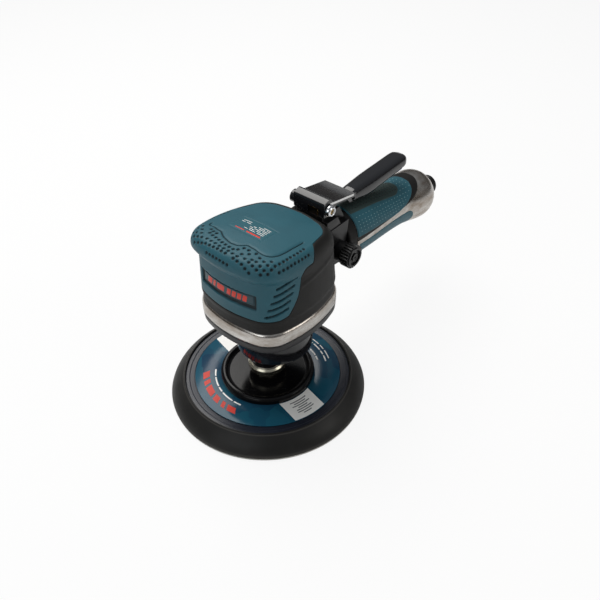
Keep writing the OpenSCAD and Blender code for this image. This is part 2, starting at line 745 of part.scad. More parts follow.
// Five slanted slots in each side of the head, just behind the nose.
module vents() {
    for (k = [0 : 4]) translate([-21.4 - 1.8 * k, 0, lip_z - 4.6 - 5.4 * k]) rotate([0, -10, 0])
        for (side = [-1, 1]) translate([0, side * (band_wid / 2 + 2), 0]) along_y()
            linear_extrude(24, center = true) slot(14.5, vent_w);
}
module slot(len, w) {
    square([len - w, w], center = true);
    for (e = [-1, 1]) translate([e * (len - w) / 2, 0]) circle(d = w, $fn = mid);
}

// The nose between two depths under its face, m inside the edges of the badge's frame.
module nose_band(d0, d1, m) {
    intersection() {
        translate([-band_len, -badge_wid / 2 + m, badge_z + m])
            cube([band_len, badge_wid - 2 * m, badge_h - 2 * m]);
        difference() {
            linear_extrude(200) polygon(band_outline(d0));
            translate([0, 0, -1]) linear_extrude(202) polygon(band_outline(d1));
        }
    }
}

module badge_plate() {
    color([0.35, 0.46, 0.5]) nose_band(badge_in, badge_in + badge_t, 0.4);
}

module on_crown(x) {
    translate([x, 0, lip_z + crown_edge_h + crown_rise - crown_slope * (x - crown_back)])
        rotate([0, crown_fall, 0]) children();
}
module data_pocket(depth) {
    on_crown(data_x) translate([-data_len / 2, -data_wid / 2 + 3, -depth - 0.5])
        cube([data_len, data_wid, 5]);
}
module data_plate() {
    color([0.5, 0.62, 0.66]) on_crown(data_x)
        translate([-data_len / 2 + 0.2, -data_wid / 2 + 3.2, -0.78]) cube([data_len - 0.4, data_wid - 0.4, 0.5]);
}

module exhaust_muffler() {
    inner = shell_t + cover_t + wall_lean + 0.3;
    color([0.75, 0.73, 0.66]) difference() {
        for (side = [-1, 1]) intersection() {
            translate([0, 0, band_top + 12]) linear_extrude(24) polygon(band_outline(inner));
            translate([-60, side * 30 - 15, band_top]) cube([40, 30, 60]);
        }
        translate([0, 0, band_top]) cylinder(r = barrel_r + gap, h = 60, $fn = fine);
    }
}

// ---- valve block --------------------------------------------------------------
// The point in the middle plane at distance s along the handle's axis and h above it.
function on_axis(s, h) = [s * cos(handle_fall) + h * sin(handle_fall),
                          handle_z - s * sin(handle_fall) + h * cos(handle_fall)];

module at_throttle(z = 0) { translate([valve_x, 0, z]) children(); }
module at_regulator() { translate([knob_x, 0, knob_z]) along_y() children(); }
module at_pivot() { translate([pivot_x, 0, pivot_z]) along_y() children(); }

module valve_block() {
    color([0.13, 0.13, 0.14]) difference() {
        union() {
            side_plate([[block_x, block_bottom + 3], [block_x + 3, block_bottom],
                        on_axis(collar_s - 0.1, -11), on_axis(collar_s - 0.1, 22),
                        [collar_s, block_top], [block_x, block_top]], block_wid);
            on_handle() translate([0, 0, boss_s])
                cylinder(r = boss_out, h = grip_start - boss_s - 0.2, $fn = fine);
            on_handle() translate([0, 0, knob_s])
                cylinder(r = tail_r, h = grip_start + tail_len - knob_s, $fn = fine);
            at_regulator() cylinder(r = knob_boss_r, h = knob_y - 0.3, $fn = fine);
        }
        on_handle() cylinder(d = air_d, h = grip_start + tail_len + 1, $fn = mid);
        at_regulator() translate([0, 0, -spool_in - 0.3])
            cylinder(r = spool_r + slip, h = spool_in + block_wid, $fn = mid);
        at_throttle(handle_z - 10) cylinder(r = chamber_r - 1.2, h = 20, $fn = mid);
        at_throttle(chamber_z) cylinder(r = chamber_r, h = 30, $fn = mid);
        at_throttle(bush_z) cylinder(r = bush_r + seat, h = 30, $fn = mid);
    }
}

module valve_head() {
    foot = pivot_z - 4.9;
    color([0.15, 0.15, 0.16]) difference() {
        union() {
            side_plate([[block_x, block_top], [valve_x + 6.5, block_top], [valve_x + 6.5, block_top + 1.5],
                        [valve_x + 1.5, foot], [block_x, foot]], valve_head_wid);
            side_plate([[block_x, block_top], [pivot_x + 11, block_top],
                        [pivot_x + 7, head_foot_z], [block_x, head_foot_z]], block_wid - 1);
            for (side = [-1, 1]) translate([0, side * (valve_head_wid - ear_t) / 2, 0]) {
                side_plate([[block_x, foot - 1], [pivot_x + 7, foot - 1], [pivot_x + ear_r, pivot_z],
                            [pivot_x - ear_r, pivot_z], [pivot_x - ear_r, foot],
                            [block_x, foot]], ear_t);
                translate([0, ear_t / 2, 0]) at_pivot() cylinder(r = ear_r, h = ear_t, $fn = mid);
            }
        }
        translate([0, block_wid, 0]) at_pivot() cylinder(r = pivot_r + seat, h = 2 * block_wid, $fn = mid);
        at_throttle(block_top - 1) cylinder(r = bush_r + seat, h = 40, $fn = mid);
    }
}

module throttle_bush() {
    color([0.8, 0.66, 0.35]) at_throttle() difference() {
        translate([0, 0, bush_z + seat]) cylinder(r = bush_r, h = valve_top - bush_z, $fn = mid);
        translate([0, 0, bush_z - 1]) cylinder(r = stem_r + slip, h = 60, $fn = mid);
        translate([0, 0, valve_top - 3]) cylinder(r = stem_r + 1.2, h = 4, $fn = mid);
    }
}

module throttle_stem() {
    color("silver") at_throttle() {
        translate([0, 0, disc_z - 1]) cylinder(r = stem_r, h = stem_top - disc_z, $fn = mid);
        translate([0, 0, stem_top - 1]) cylinder(r1 = stem_r, r2 = stem_r - 0.8, h = 0.8, $fn = mid);
    }
}

module valve_disc() {
    color([0.12, 0.12, 0.12]) at_throttle() ring(stem_r + seat, chamber_r - gap, 2, disc_z);
}

module stem_seal() {
    color([0.08, 0.08, 0.08]) at_throttle() ring(stem_r + seat, stem_r + 1.1, 1.2, valve_top - 1.8);
}

module valve_spring() {
    turns = 4;
    steps = 12;
    low = chamber_z + spring_wire / 2;
    rise = disc_z - spring_wire / 2 - low;
    r = chamber_r - gap - spring_wire;
    color("silver") wire([for (k = [0 : turns * steps]) let (a = 360 * k / steps)
        [valve_x + r * cos(a), r * sin(a), low + rise * k / (turns * steps)]], spring_wire / 2, 6);
}

module pivot_pin() {
    color([0.8, 0.62, 0.3]) translate([0, cheek_out + 1.2, 0]) at_pivot()
        cylinder(r = pivot_r, h = 2 * cheek_out + cap_len, $fn = mid);
}

module pin_cap() {
    color([0.85, 0.86, 0.88]) translate([0, -cheek_out - gap, 0]) at_pivot()
        rotate_extrude($fn = mid) polygon([
            [pivot_r + seat, 0], [cap_r, 0], [cap_r, cap_len - 2], [cap_r - 0.5, cap_len - 0.8],
            [cap_r - 1.4, cap_len], [pivot_r + 0.4, cap_len], [pivot_r + seat, cap_len - 0.6]]);
}

// A coil round the pin, with one leg under the lever's plate and one down the valve head.
module torsion_spring() {
    turns = 8;
    steps = 14;
    r = pivot_r + 0.2 + torsion_wire / 2;
    half = valve_head_wid / 2 - ear_t - torsion_wire;
    coil = [for (k = [0 : turns * steps + steps / 4]) let (a = 90 + 360 * k / steps)
        [pivot_x + r * cos(a), half * (1 - 2 * k / (turns * steps + steps / 4)), pivot_z + r * sin(a)]];
    color([0.78, 0.6, 0.28]) wire(concat(
        [for (x = [8, 6, 4, 2]) [pivot_x + x, half, pivot_z + r - 0.1 - 0.13 * x]], coil,
        [for (z = [2, 3.5, 4.4]) [pivot_x - r, -half, pivot_z - z]],
        [[pivot_x - r - 0.4, -half, pivot_z - 5.4], [pivot_x - r - 1.6, -half, pivot_z - 6.2]]),
        torsion_wire / 2, 6);
}

module regulator_spool() {
    color([0.75, 0.75, 0.76]) difference() {
        at_regulator() union() {
            translate([0, 0, -spool_in]) cylinder(r = spool_r, h = spool_in + knob_y, $fn = mid);
            translate([0, 0, knob_y - 1]) cylinder(r = spool_stub_r, h = knob_len - 4, $fn = mid);
        }
        on_handle() cylinder(d = air_d - 3, h = 2 * knob_s, $fn = mid);
        at_regulator() ring(spool_r - 0.8, spool_r + 1, 1.4, seal_y);
        at_regulator() translate([0, 0, knob_y + knob_len - 12]) cylinder(r = knob_screw_r, h = 20, $fn = mid);
    }
}

module regulator_seal() {
    color([0.08, 0.08, 0.08]) at_regulator() ring(spool_r - 0.78, spool_r + 0.01, 1.3, seal_y + 0.05);
}

module regulator_knob() {
    step = 360 / knob_ribs;
    rim = [for (k = [0 : knob_ribs - 1], c = [[0, 0.7], [0.3, 0], [0.7, 0], [1, 0.7]])
        let (a = step * (k + c[0] * 0.9)) (knob_r - c[1]) * [cos(a), sin(a)]];
    color([0.12, 0.12, 0.12]) at_regulator() difference() {
        union() {
            translate([0, 0, knob_y + 0.1]) cylinder(r = knob_r - 1.6, h = knob_len - 0.1, $fn = mid);
            translate([0, 0, knob_y + 0.7]) linear_extrude(knob_len - 1.6) polygon(rim);
        }
        translate([0, 0, knob_y - 1]) cylinder(r = spool_stub_r + seat, h = knob_len - 3.9, $fn = mid);
        cylinder(r = knob_screw_r + slip, h = knob_y + knob_len + 1, $fn = mid);
        ring(knob_screw_head_r + 0.6, knob_r - 3, 3, knob_y + knob_len - 1.5);
        translate([0, 0, knob_y + knob_len - 1.5])
            cylinder(r = knob_screw_head_r + seat, h = 3, $fn = mid);
    }
}

module knob_screw() {
    color([0.2, 0.2, 0.2]) at_regulator() difference() {
        union() {
            translate([0, 0, knob_y + knob_len - 11]) cylinder(r = knob_screw_r - seat, h = 10, $fn = mid);
            translate([0, 0, knob_y + knob_len - 1.5]) cylinder(r = knob_screw_head_r, h = 1.3, $fn = mid);
        }
        translate([0, 0, knob_y + knob_len - 1]) cylinder(r = 1, h = 2, $fn = 6);
    }
}

// ---- lever --------------------------------------------------------------------
function hood_line(x, drop) =
    [x, hood_top - tan(hood_fall) * (x - pivot_x - 5) - drop / cos(hood_fall)];

// The hood's front and top in side view, inset by d: the front is folded up from below, and
// the sheet rises over the pivot before it runs down the plate.
function hood_outline(d, back) = concat(
    [[hood_front + d, pivot_z - 4.2]],
    [for (a = [180 : -20 : 120])
        [hood_front + fold_r, fold_z - fold_r] + (fold_r - d) * [cos(a), sin(a)]],
    [for (a = [100 : -15 : 40])
        [pivot_x + 0.6, crest_z - crest_r] + (crest_r - d) * [cos(a), sin(a)]],
    [hood_line(pivot_x + 5, d), hood_line(back, d)]);

module lever_hood() {
    low = hood_line(hood_back, 5)[1];
    inner = hood_back - hood_t;
    color([0.1, 0.1, 0.11]) difference() {
        union() {
            side_plate(concat(hood_outline(0, hood_back - 1.6),
                [hood_line(hood_back - 0.5, 0.6), hood_line(hood_back, 1.8), [hood_back, low], [inner, low],
                 hood_line(inner, hood_edge), hood_line(pivot_x + 9, hood_edge),
                 [pivot_x + 5, pivot_z - cheek_drop], [pivot_x - 2, pivot_z - cheek_drop]]),
                2 * cheek_out);
            translate([0, cheek_out + boss_len, 0]) at_pivot()
                cylinder(r = hinge_r, h = boss_len + 0.5, $fn = mid);
        }
        side_plate(concat(hood_outline(hood_t, inner), [[inner, pivot_z - 20],
            [hood_front + hood_t, pivot_z - 20]]), 2 * cheek_in);
        translate([0, cheek_out + 1.5, 0]) at_pivot()
            cylinder(r = pivot_r + slip, h = 2 * cheek_out + 5, $fn = mid);
        side_plate(arm_side(seat), arm_wid + 2 * seat);
        translate([hood_front - 1, -cheek_in + 0.8, pivot_z - 6]) cube([hood_t + 1.5, cheek_in, 7.3]);
    }
}

// The steel arm in side view, thicker by g above and below: it lies under the hood's plate,
// leaves through the hood's back, and runs along the lever's axis.
function arm_side(g) =
    let (start = valve_x + stem_r + 2 - g, bend = hood_back - hood_t - 2.5, t = arm_t / 2 + g)
    [hood_line(start, hood_t - g), hood_line(bend, hood_t - g),
     hood_line(hood_back - hood_t, hood_t + 1.5 - g),
     lever_axis(sleeve_x - 1, t), lever_axis(sleeve_x + arm_len + g, t),
     lever_axis(sleeve_x + arm_len + g, -t), lever_axis(sleeve_x - 2, -t),
     hood_line(bend - 0.5, hood_t + arm_t + g), hood_line(start, hood_t + arm_t + g)];

module lever_arm() {
    color([0.35, 0.35, 0.36]) side_plate(arm_side(0), arm_wid);
}

// A point dz above the moulded lever's axis at x.
function lever_axis(x, dz) = [x, arm_z + tan(arm_rise) * (x - sleeve_x) + dz];

// The moulded lever: an arched section run along its axis, trimmed to its side view and to
// its plan with round ends, hollow underneath, and cut out for the arm.
module lever_sleeve() {
    half = lever_wid / 2;
    span = tip_x - sleeve_x;
    inner = half - 2.1;
    side = [[0, -2], [0.06, -2.6], [0.165, -0.8 * sleeve_low], [0.25, -sleeve_low],
            [0.78, -0.74 * sleeve_low], [0.95, -0.5 * sleeve_low], [0.985, -1.6], [1, 0.4],
            [0.995, 2.6], [0.97, 0.7 * sleeve_top], [0.92, 0.93 * sleeve_top],
            [0.86, sleeve_top], [0.8, 2 * sleeve_top],
            [0.07, 2 * sleeve_top], [0.02, 0.8 * sleeve_top], [0, 0.5 * sleeve_top]];
    color([0.12, 0.12, 0.13]) difference() {
        intersection() {
            translate([sleeve_x, 0, arm_z]) rotate([0, -arm_rise, 0]) rotate([90, 0, 90])
                translate([0, 0, -1]) linear_extrude(span + 2) union() {
                    translate([0, sleeve_top - half]) circle(r = half, $fn = fine);
                    translate([-half + 0.01, -2 * sleeve_low]) square([2 * half - 0.02, 2 * sleeve_low]);
                }
            side_plate([for (q = side) lever_axis(sleeve_x + span * q[0], q[1])], 4 * half);
            linear_extrude(200) polygon(concat(
                [for (a = [-90 : 10 : 90]) [tip_x - half + half * cos(a), half * sin(a)]],
                [for (a = [90 : 15 : 270]) [sleeve_x + 3, 0] + [3 * cos(a), (half - 3) * sign(sin(a)) + 3 * sin(a)]]));
        }
        side_plate([lever_axis(sleeve_x + 2, -20), lever_axis(sleeve_x + 2, -arm_t / 2 - 1),
                    lever_axis(tip_x - 19.5, -arm_t / 2 - 1), lever_axis(tip_x - 19.5, -20)], 2 * inner);
        side_plate(arm_side(seat), arm_wid + 2 * seat);
        side_plate(bumper_side(seat), lever_wid / 2 + 2 * seat);
    }
}

// The rubber bumper under the lever's tip in side view, larger by g all round.
function bumper_side(g) =
    let (x = tip_x - 12, low = sleeve_low * 0.66)
    [lever_axis(x - g, g - 3), lever_axis(x + 9 + g, g - 3),
     lever_axis(x + 8 + g, -low - 3 - g), lever_axis(x + 1 - g, -low - 3 - g)];

module lever_bumper() {
    color([0.1, 0.12, 0.4]) side_plate(bumper_side(0), lever_wid / 2);
}

// ---- handle -------------------------------------------------------------------
// A band round the handle between two distances and two heights from its skin, over the
// angle that runs from a0 to a1 on each side of the top.
module band(s0, s1, low, high, a0, a1) {
    n = ceil((s1 - s0) / handle_step);
    line = [for (k = [0 : n]) s0 + (s1 - s0) * k / n];
    on_handle() rotate(180 + a0) rotate_extrude(angle = a1 - a0, $fn = fine) polygon(concat(
        [for (s = line) [handle_r(s) + high, s]],
        [for (k = [n : -1 : 0]) [handle_r(line[k]) + low, line[k]]]));
}

// A cover on top of the handle: a band whose rear end is rounded off over its last stretch.
module cover(s0, s1, low, high, half, rounded) {
    line = concat([s0 - 1], [for (k = [0 : 12]) s1 - rounded * cos(90 * k / 12)]);
    reach = [for (s = line) (handle_r(s) + 1.2)
        * sin(half * pow(1 - pow(max(0, 1 - (s1 - s) / rounded), cover_power), 1 / cover_power))];
    last = len(line) - 1;
    intersection() {
        band(s0, s1, low, high, -half, half);
        on_handle() rotate([0, -90, 0]) linear_extrude(front_d) polygon(concat(
            [for (k = [0 : last]) [line[k], -reach[k]]],
            [for (k = [last - 1 : -1 : 0]) [line[k], reach[k]]]));
    }
}

module front_collar() {
    color([0.1, 0.1, 0.11]) on_handle() rotate_extrude($fn = fine) polygon([
        [boss_out + seat, collar_s], each [for (a = [0 : 15 : 90])
            [front_r - collar_round * (1 - sin(a)), collar_s + collar_round * (1 - cos(a))]],
        [front_r, grip_start - 0.2], [boss_out + seat, grip_start - 0.2]]);
}

module handle_core() {
    steps = ceil((handle_end - grip_start) / handle_step * 2);
    color([0.83, 0.84, 0.85]) difference() {
        on_handle() rotate_extrude($fn = fine) polygon(concat(
            [for (k = [0 : steps]) let (s = grip_start + (handle_end - grip_start) * k / steps)
                [handle_r(s), s]],
            [[air_d / 2, handle_end], [air_d / 2, grip_start + tail_len + 0.2],
             [tail_r + seat, grip_start + tail_len + 0.2], [tail_r + seat, grip_start]]));
        cover(grip_start - 1, sleeve_end, -sleeve_t, 1, sleeve_half, sleeve_round);
        for (side = [-1, 1]) band(strip_start, strip_end, -1.5, 2,
            side > 0 ? strip_a0 : -strip_a1, side > 0 ? strip_a1 : -strip_a0);
        on_handle() translate([0, 0, handle_end - inlet_in])
            cylinder(r = inlet_thread_r + seat, h = inlet_in + 1, $fn = mid);
    }
}

module grip_sleeve() {
    color([0.15, 0.15, 0.16]) difference() {
        cover(grip_start + 0.1, sleeve_end - 0.2, seat - sleeve_t, sleeve_rise,
              sleeve_half - 0.3, sleeve_round);
        cover(panel_start, panel_end, -panel_t, 1, panel_half, panel_round);
    }
}

module grip_panel() {
    color([0.27, 0.44, 0.48])
        difference() {
            cover(panel_start + 0.1, panel_end - 0.2, seat - panel_t, patch_foot + patch_in,
                  panel_half - 0.3, panel_round);
            cover(patch_start, patch_end, patch_foot, 1, patch_half + 0.3, patch_round);
        }
}

module grip_patch() {
    color([0.33, 0.42, 0.43])
        cover(patch_start + 0.1, patch_end - 0.2, patch_foot + seat, patch_foot + patch_in + patch_out,
              patch_half, patch_round);
}

module side_strips() {
    color([0.27, 0.44, 0.48]) for (side = [-1, 1])
        band(strip_start + 0.2, strip_end - 0.2, seat - 1.5, 0.3,
             side > 0 ? strip_a0 + 0.3 : 0.3 - strip_a1, side > 0 ? strip_a1 - 0.3 : -0.3 - strip_a0);
}

module inlet_bushing() {
    r = inlet_d / 2;
    mouth = inlet_s;
    color([0.1, 0.1, 0.1]) on_handle() rotate_extrude($fn = fine) polygon([
        [inlet_bore / 2 - 1.6, handle_end - inlet_in + seat], [inlet_thread_r, handle_end - inlet_in + seat],
        [inlet_thread_r, handle_end + 0.8], [r, handle_end + 0.8], [r, mouth - 1.2],
        [r - 1.2, mouth], [inlet_bore / 2, mouth], [inlet_bore / 2, mouth - inlet_thread],
        [screen_r + slip, mouth - inlet_thread], [screen_r + slip, mouth - inlet_thread - 1],
        [inlet_bore / 2 - 1.6, mouth - inlet_thread - 1]]);
}

module inlet_seal() {
    color([0.06, 0.06, 0.06]) on_handle() translate([0, 0, handle_end + 0.4])
        rotate_extrude($fn = mid) translate([inlet_thread_r + 0.45, 0]) circle(r = 0.4, $fn = 24);
}

module inlet_screen() {
    color([0.6, 0.6, 0.6]) on_handle() translate([0, 0, inlet_s - inlet_thread - 1]) difference() {
        cylinder(r = screen_r, h = 0.8, $fn = mid);
        translate([0, 0, -1]) cylinder(r = 0.9, h = 3, $fn = 16);
        for (a = [0 : 60 : 300]) rotate(a) translate([3, 0, -1]) cylinder(r = 0.9, h = 3, $fn = 16);
    }
}

hook_face();
pad_skirt();
backing_plate();
pad_label();
pad_hub();
pad_spindle();
spindle_washer();
spindle_shield();
counterweight();
pad_bearings();
bearing_retainer();
drive_shaft();
rotor();
rotor_key();
vanes();
lower_flange();
flange_gasket();
flange_screws();
dust_seal();
lock_ring();
motor_housing();
lower_end_plate();
lower_bearing();
motor_liner();
liner_dowel();
upper_end_plate();
upper_bearing();
head_cover();
front_shell();
badge_plate();
data_plate();
exhaust_muffler();
valve_block();
valve_head();
throttle_bush();
throttle_stem();
valve_disc();
stem_seal();
valve_spring();
pivot_pin();
pin_cap();
torsion_spring();
regulator_spool();
regulator_seal();
regulator_knob();
knob_screw();
lever_hood();
lever_arm();
lever_sleeve();
lever_bumper();
front_collar();
handle_core();
grip_sleeve();
grip_panel();
grip_patch();
side_strips();
inlet_bushing();
inlet_seal();
inlet_screen();
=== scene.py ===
# %% [markdown]
# # An air-driven orbital sander, dressed piece by piece
# The sander is already built as a set of solids with joints. This script puts the finished
# look on it: fine forms that a solid modeller makes slowly, and materials made of nodes.
# Everything here is in millimetres while it is worked out, and in metres in the scene.

# %% Load the solids
import json
import math
import bpy
import bmesh
import numpy as np
from mathutils import Matrix


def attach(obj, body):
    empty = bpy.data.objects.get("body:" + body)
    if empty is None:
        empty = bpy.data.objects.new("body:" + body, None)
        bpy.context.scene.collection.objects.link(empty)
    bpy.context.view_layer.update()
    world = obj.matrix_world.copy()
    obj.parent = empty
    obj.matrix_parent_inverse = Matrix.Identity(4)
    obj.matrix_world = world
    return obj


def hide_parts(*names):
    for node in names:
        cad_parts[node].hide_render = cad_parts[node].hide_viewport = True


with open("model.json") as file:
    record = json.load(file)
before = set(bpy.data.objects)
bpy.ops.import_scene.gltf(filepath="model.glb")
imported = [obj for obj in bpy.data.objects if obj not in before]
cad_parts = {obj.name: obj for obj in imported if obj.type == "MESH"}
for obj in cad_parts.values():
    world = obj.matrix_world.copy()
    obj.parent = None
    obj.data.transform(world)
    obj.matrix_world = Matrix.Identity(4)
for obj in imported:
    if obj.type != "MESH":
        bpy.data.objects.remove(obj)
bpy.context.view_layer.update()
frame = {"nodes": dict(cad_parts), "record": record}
MM = 0.001

# %% [markdown]
# The camera looks down at the sander from the front left, about forty degrees above the
# floor. Its three axes are written as rows: to the right, up, and out of the picture.

# %% Camera
FOCAL_LENGTH = 42.318
CAMERA_PLACE = (-0.27501, -0.26926, 0.40765)
camera_data = bpy.data.cameras.new("camera")
camera_data.sensor_width = 36
camera_data.lens = FOCAL_LENGTH
camera_data.clip_start = 0.01
camera = bpy.data.objects.new("camera", camera_data)
bpy.context.scene.collection.objects.link(camera)
right = np.array([0.65098, -0.75900, -0.01208])
up = np.array([0.49621, 0.41343, 0.76345])
ahead = np.array([0.57446, 0.50298, -0.64576])
axes = np.array([right, up, -ahead]).T
camera.matrix_world = Matrix.Translation(CAMERA_PLACE) @ Matrix(axes.tolist()).to_4x4()
bpy.context.scene.camera = camera
print("camera", [round(v, 3) for v in camera.location])

# %% [markdown]
# A photographer's tent lights a glossy tool evenly: broad soft lamps above and beside it,
# and a pale floor. The world is a pale grey that is darker and warmer near the horizon, so
# polished metal has something to reflect. To the camera the world is plain white and the
# floor glows until it is nearly white, and it still takes the sander's soft shadow.

# %% Light and floor
scene = bpy.context.scene
scene.view_settings.view_transform = "Standard"


def lamp(name, place, aim, size, power, colour):
    """A square soft lamp of a given size in metres at place, facing aim."""
    data = bpy.data.lights.new(name, "AREA")
    data.shape = "SQUARE"
    data.size = size
    data.energy = power
    data.color = colour
    obj = bpy.data.objects.new(name, data)
    scene.collection.objects.link(obj)
    back = np.array(place, float) - np.array(aim, float)
    back /= np.linalg.norm(back)
    side = np.cross((0.0, 0.0, 1.0), back)
    side /= np.linalg.norm(side)
    turn = np.array([side, np.cross(back, side), back]).T
    obj.matrix_world = Matrix.Translation(place) @ Matrix(turn.tolist()).to_4x4()


lamp("lamp_over", (0.15, 0.5, 1.1), (0.05, 0.0, 0.1), 0.9, 12.5, (1.0, 0.98, 0.95))
lamp("lamp_left", (-0.95, -0.1, 0.55), (0.0, 0.0, 0.08), 0.6, 2.1, (0.95, 0.98, 1.0))
lamp("lamp_right", (0.35, -0.95, 0.5), (0.05, 0.0, 0.08), 0.5, 2.2, (1.0, 0.97, 0.93))

world = bpy.data.worlds.new("tent")
scene.world = world
world.use_nodes = True
wn, wl = world.node_tree.nodes, world.node_tree.links
wn.clear()
w_out = wn.new("ShaderNodeOutputWorld")
w_light = wn.new("ShaderNodeBackground")
w_seen = wn.new("ShaderNodeBackground")
w_mix = wn.new("ShaderNodeMixShader")
w_path = wn.new("ShaderNodeLightPath")
w_coord = wn.new("ShaderNodeTexCoord")
w_split = wn.new("ShaderNodeSeparateXYZ")
w_ramp = wn.new("ShaderNodeValToRGB")
wl.new(w_coord.outputs["Generated"], w_split.inputs[0])
wl.new(w_split.outputs["Z"], w_ramp.inputs[0])
w_ramp.color_ramp.elements[0].position = 0.0
w_ramp.color_ramp.elements[0].color = (0.17, 0.14, 0.115, 1)
w_ramp.color_ramp.elements[1].position = 0.7
w_ramp.color_ramp.elements[1].color = (0.82, 0.86, 0.9, 1)
wl.new(w_ramp.outputs[0], w_light.inputs["Color"])
w_light.inputs["Strength"].default_value = 0.36
w_seen.inputs["Color"].default_value = (1, 1, 1, 1)
w_seen.inputs["Strength"].default_value = 1.0
wl.new(w_path.outputs["Is Camera Ray"], w_mix.inputs[0])
wl.new(w_light.outputs[0], w_mix.inputs[1])
wl.new(w_seen.outputs[0], w_mix.inputs[2])
wl.new(w_mix.outputs[0], w_out.inputs[0])

floor_mesh = bpy.data.meshes.new("floor")
FLOOR_HALF = 4.0
floor_corners = [(x * FLOOR_HALF, y * FLOOR_HALF, 0) for x, y in ((-1, -1), (1, -1), (1, 1), (-1, 1))]
floor_mesh.from_pydata(floor_corners, [], [(0, 1, 2, 3)])
floor = bpy.data.objects.new("floor", floor_mesh)
scene.collection.objects.link(floor)
PAPER_WHITE = 0.86
paper = bpy.data.materials.new("paper")
paper.use_nodes = True
pn, pl = paper.node_tree.nodes, paper.node_tree.links
pn.clear()
p_out = pn.new("ShaderNodeOutputMaterial")
p_diff = pn.new("ShaderNodeBsdfDiffuse")
p_diff.inputs["Color"].default_value = (PAPER_WHITE, PAPER_WHITE, PAPER_WHITE, 1)
p_glow = pn.new("ShaderNodeEmission")
p_glow.inputs["Strength"].default_value = 1.0
p_mix = pn.new("ShaderNodeMixShader")
p_path = pn.new("ShaderNodeLightPath")
SHARE_OF_GLOW = 0.86
p_part = pn.new("ShaderNodeMath")
p_part.operation = "MULTIPLY"
p_part.inputs[1].default_value = SHARE_OF_GLOW
pl.new(p_path.outputs["Is Camera Ray"], p_part.inputs[0])
pl.new(p_part.outputs[0], p_mix.inputs[0])
pl.new(p_diff.outputs[0], p_mix.inputs[1])
pl.new(p_glow.outputs[0], p_mix.inputs[2])
pl.new(p_mix.outputs[0], p_out.inputs[0])
floor_mesh.materials.append(paper)

# %% [markdown]
# ## Materials
# Each finish is one Principled shader with nodes that vary it. The plain numbers of a
# finish, such as how metallic it is or how strong its clear coat is, stand on the shader's
# own sockets. Noise in Object coordinates gives the grain, so it stays fixed to the piece.
# The scale of a noise counts per metre: 60 gives blotches of about 17 mm, 25 of 40 mm.

# %% A finish with grain, mottling and scuffs
def parts_of(material):
    """A material's nodes, its links and its Principled shader."""
    tree = material.node_tree
    return tree.nodes, tree.links, tree.nodes["Principled BSDF"]


def add_bump(material, height, strength, distance):
    """Bumps the surface by the socket height, on top of any bump it already has. distance is
    in mm."""
    n, l, p = parts_of(material)
    bump = n.new("ShaderNodeBump")
    bump.inputs["Strength"].default_value = strength
    bump.inputs["Distance"].default_value = distance * MM
    l.new(height, bump.inputs["Height"])
    if p.inputs["Normal"].links:
        l.new(p.inputs["Normal"].links[0].from_socket, bump.inputs["Normal"])
    l.new(bump.outputs[0], p.inputs["Normal"])


def mix_in(material, factor, colour, under):
    """Mixes colour over the colour socket under, by the socket factor. Gives the mixed
    colour's socket."""
    n, l, _ = parts_of(material)
    mix = n.new("ShaderNodeMix")
    mix.data_type = "RGBA"
    mix.inputs["B"].default_value = (*colour, 1)
    l.new(factor, mix.inputs["Factor"])
    l.new(under, mix.inputs["A"])
    return mix.outputs["Result"]


def finish(name, colour, rough, metal=0.0, coat=0.0, grain=0.0, grain_size=0.4, mottle=0.08,
           smear=0.12, sheen=0.0, spec=0.5):
    """A Principled material. Colour is multiplied by 1 plus or minus mottle of a soft noise,
    roughness moves by plus or minus smear of another noise, and a fine noise of grain_size
    millimetres makes a bump of strength grain."""
    m = bpy.data.materials.new(name)
    m.use_nodes = True
    n, l, p = parts_of(m)
    p.inputs["Metallic"].default_value = metal
    p.inputs["Coat Weight"].default_value = coat
    p.inputs["Coat Roughness"].default_value = 0.06
    p.inputs["Sheen Weight"].default_value = sheen
    p.inputs["Specular IOR Level"].default_value = spec
    at = n.new("ShaderNodeTexCoord")
    soft = n.new("ShaderNodeTexNoise")
    soft.inputs["Scale"].default_value = 60
    soft.inputs["Detail"].default_value = 4
    l.new(at.outputs["Object"], soft.inputs["Vector"])
    tone = n.new("ShaderNodeValToRGB")
    dark = [max(0.0, c * (1 - mottle)) for c in colour] + [1]
    pale = [min(1.0, c * (1 + mottle)) for c in colour] + [1]
    tone.color_ramp.elements[0].position = 0.3
    tone.color_ramp.elements[0].color = dark
    tone.color_ramp.elements[1].position = 0.7
    tone.color_ramp.elements[1].color = pale
    l.new(soft.outputs["Fac"], tone.inputs[0])
    l.new(tone.outputs[0], p.inputs["Base Color"])
    wipe = n.new("ShaderNodeTexNoise")
    wipe.inputs["Scale"].default_value = 25
    wipe.inputs["Detail"].default_value = 6
    wipe.inputs["Roughness"].default_value = 0.65
    l.new(at.outputs["Object"], wipe.inputs["Vector"])
    spread = n.new("ShaderNodeMapRange")
    spread.inputs["From Min"].default_value = 0.3
    spread.inputs["From Max"].default_value = 0.7
    spread.inputs["To Min"].default_value = max(0.02, rough * (1 - smear))
    spread.inputs["To Max"].default_value = min(1.0, rough * (1 + smear))
    l.new(wipe.outputs["Fac"], spread.inputs["Value"])
    l.new(spread.outputs[0], p.inputs["Roughness"])
    if grain:
        fine = n.new("ShaderNodeTexNoise")
        fine.inputs["Scale"].default_value = 1 / (grain_size * MM)
        fine.inputs["Detail"].default_value = 2
        l.new(at.outputs["Object"], fine.inputs["Vector"])
        add_bump(m, fine.outputs["Fac"], grain, 0.1)
    return m


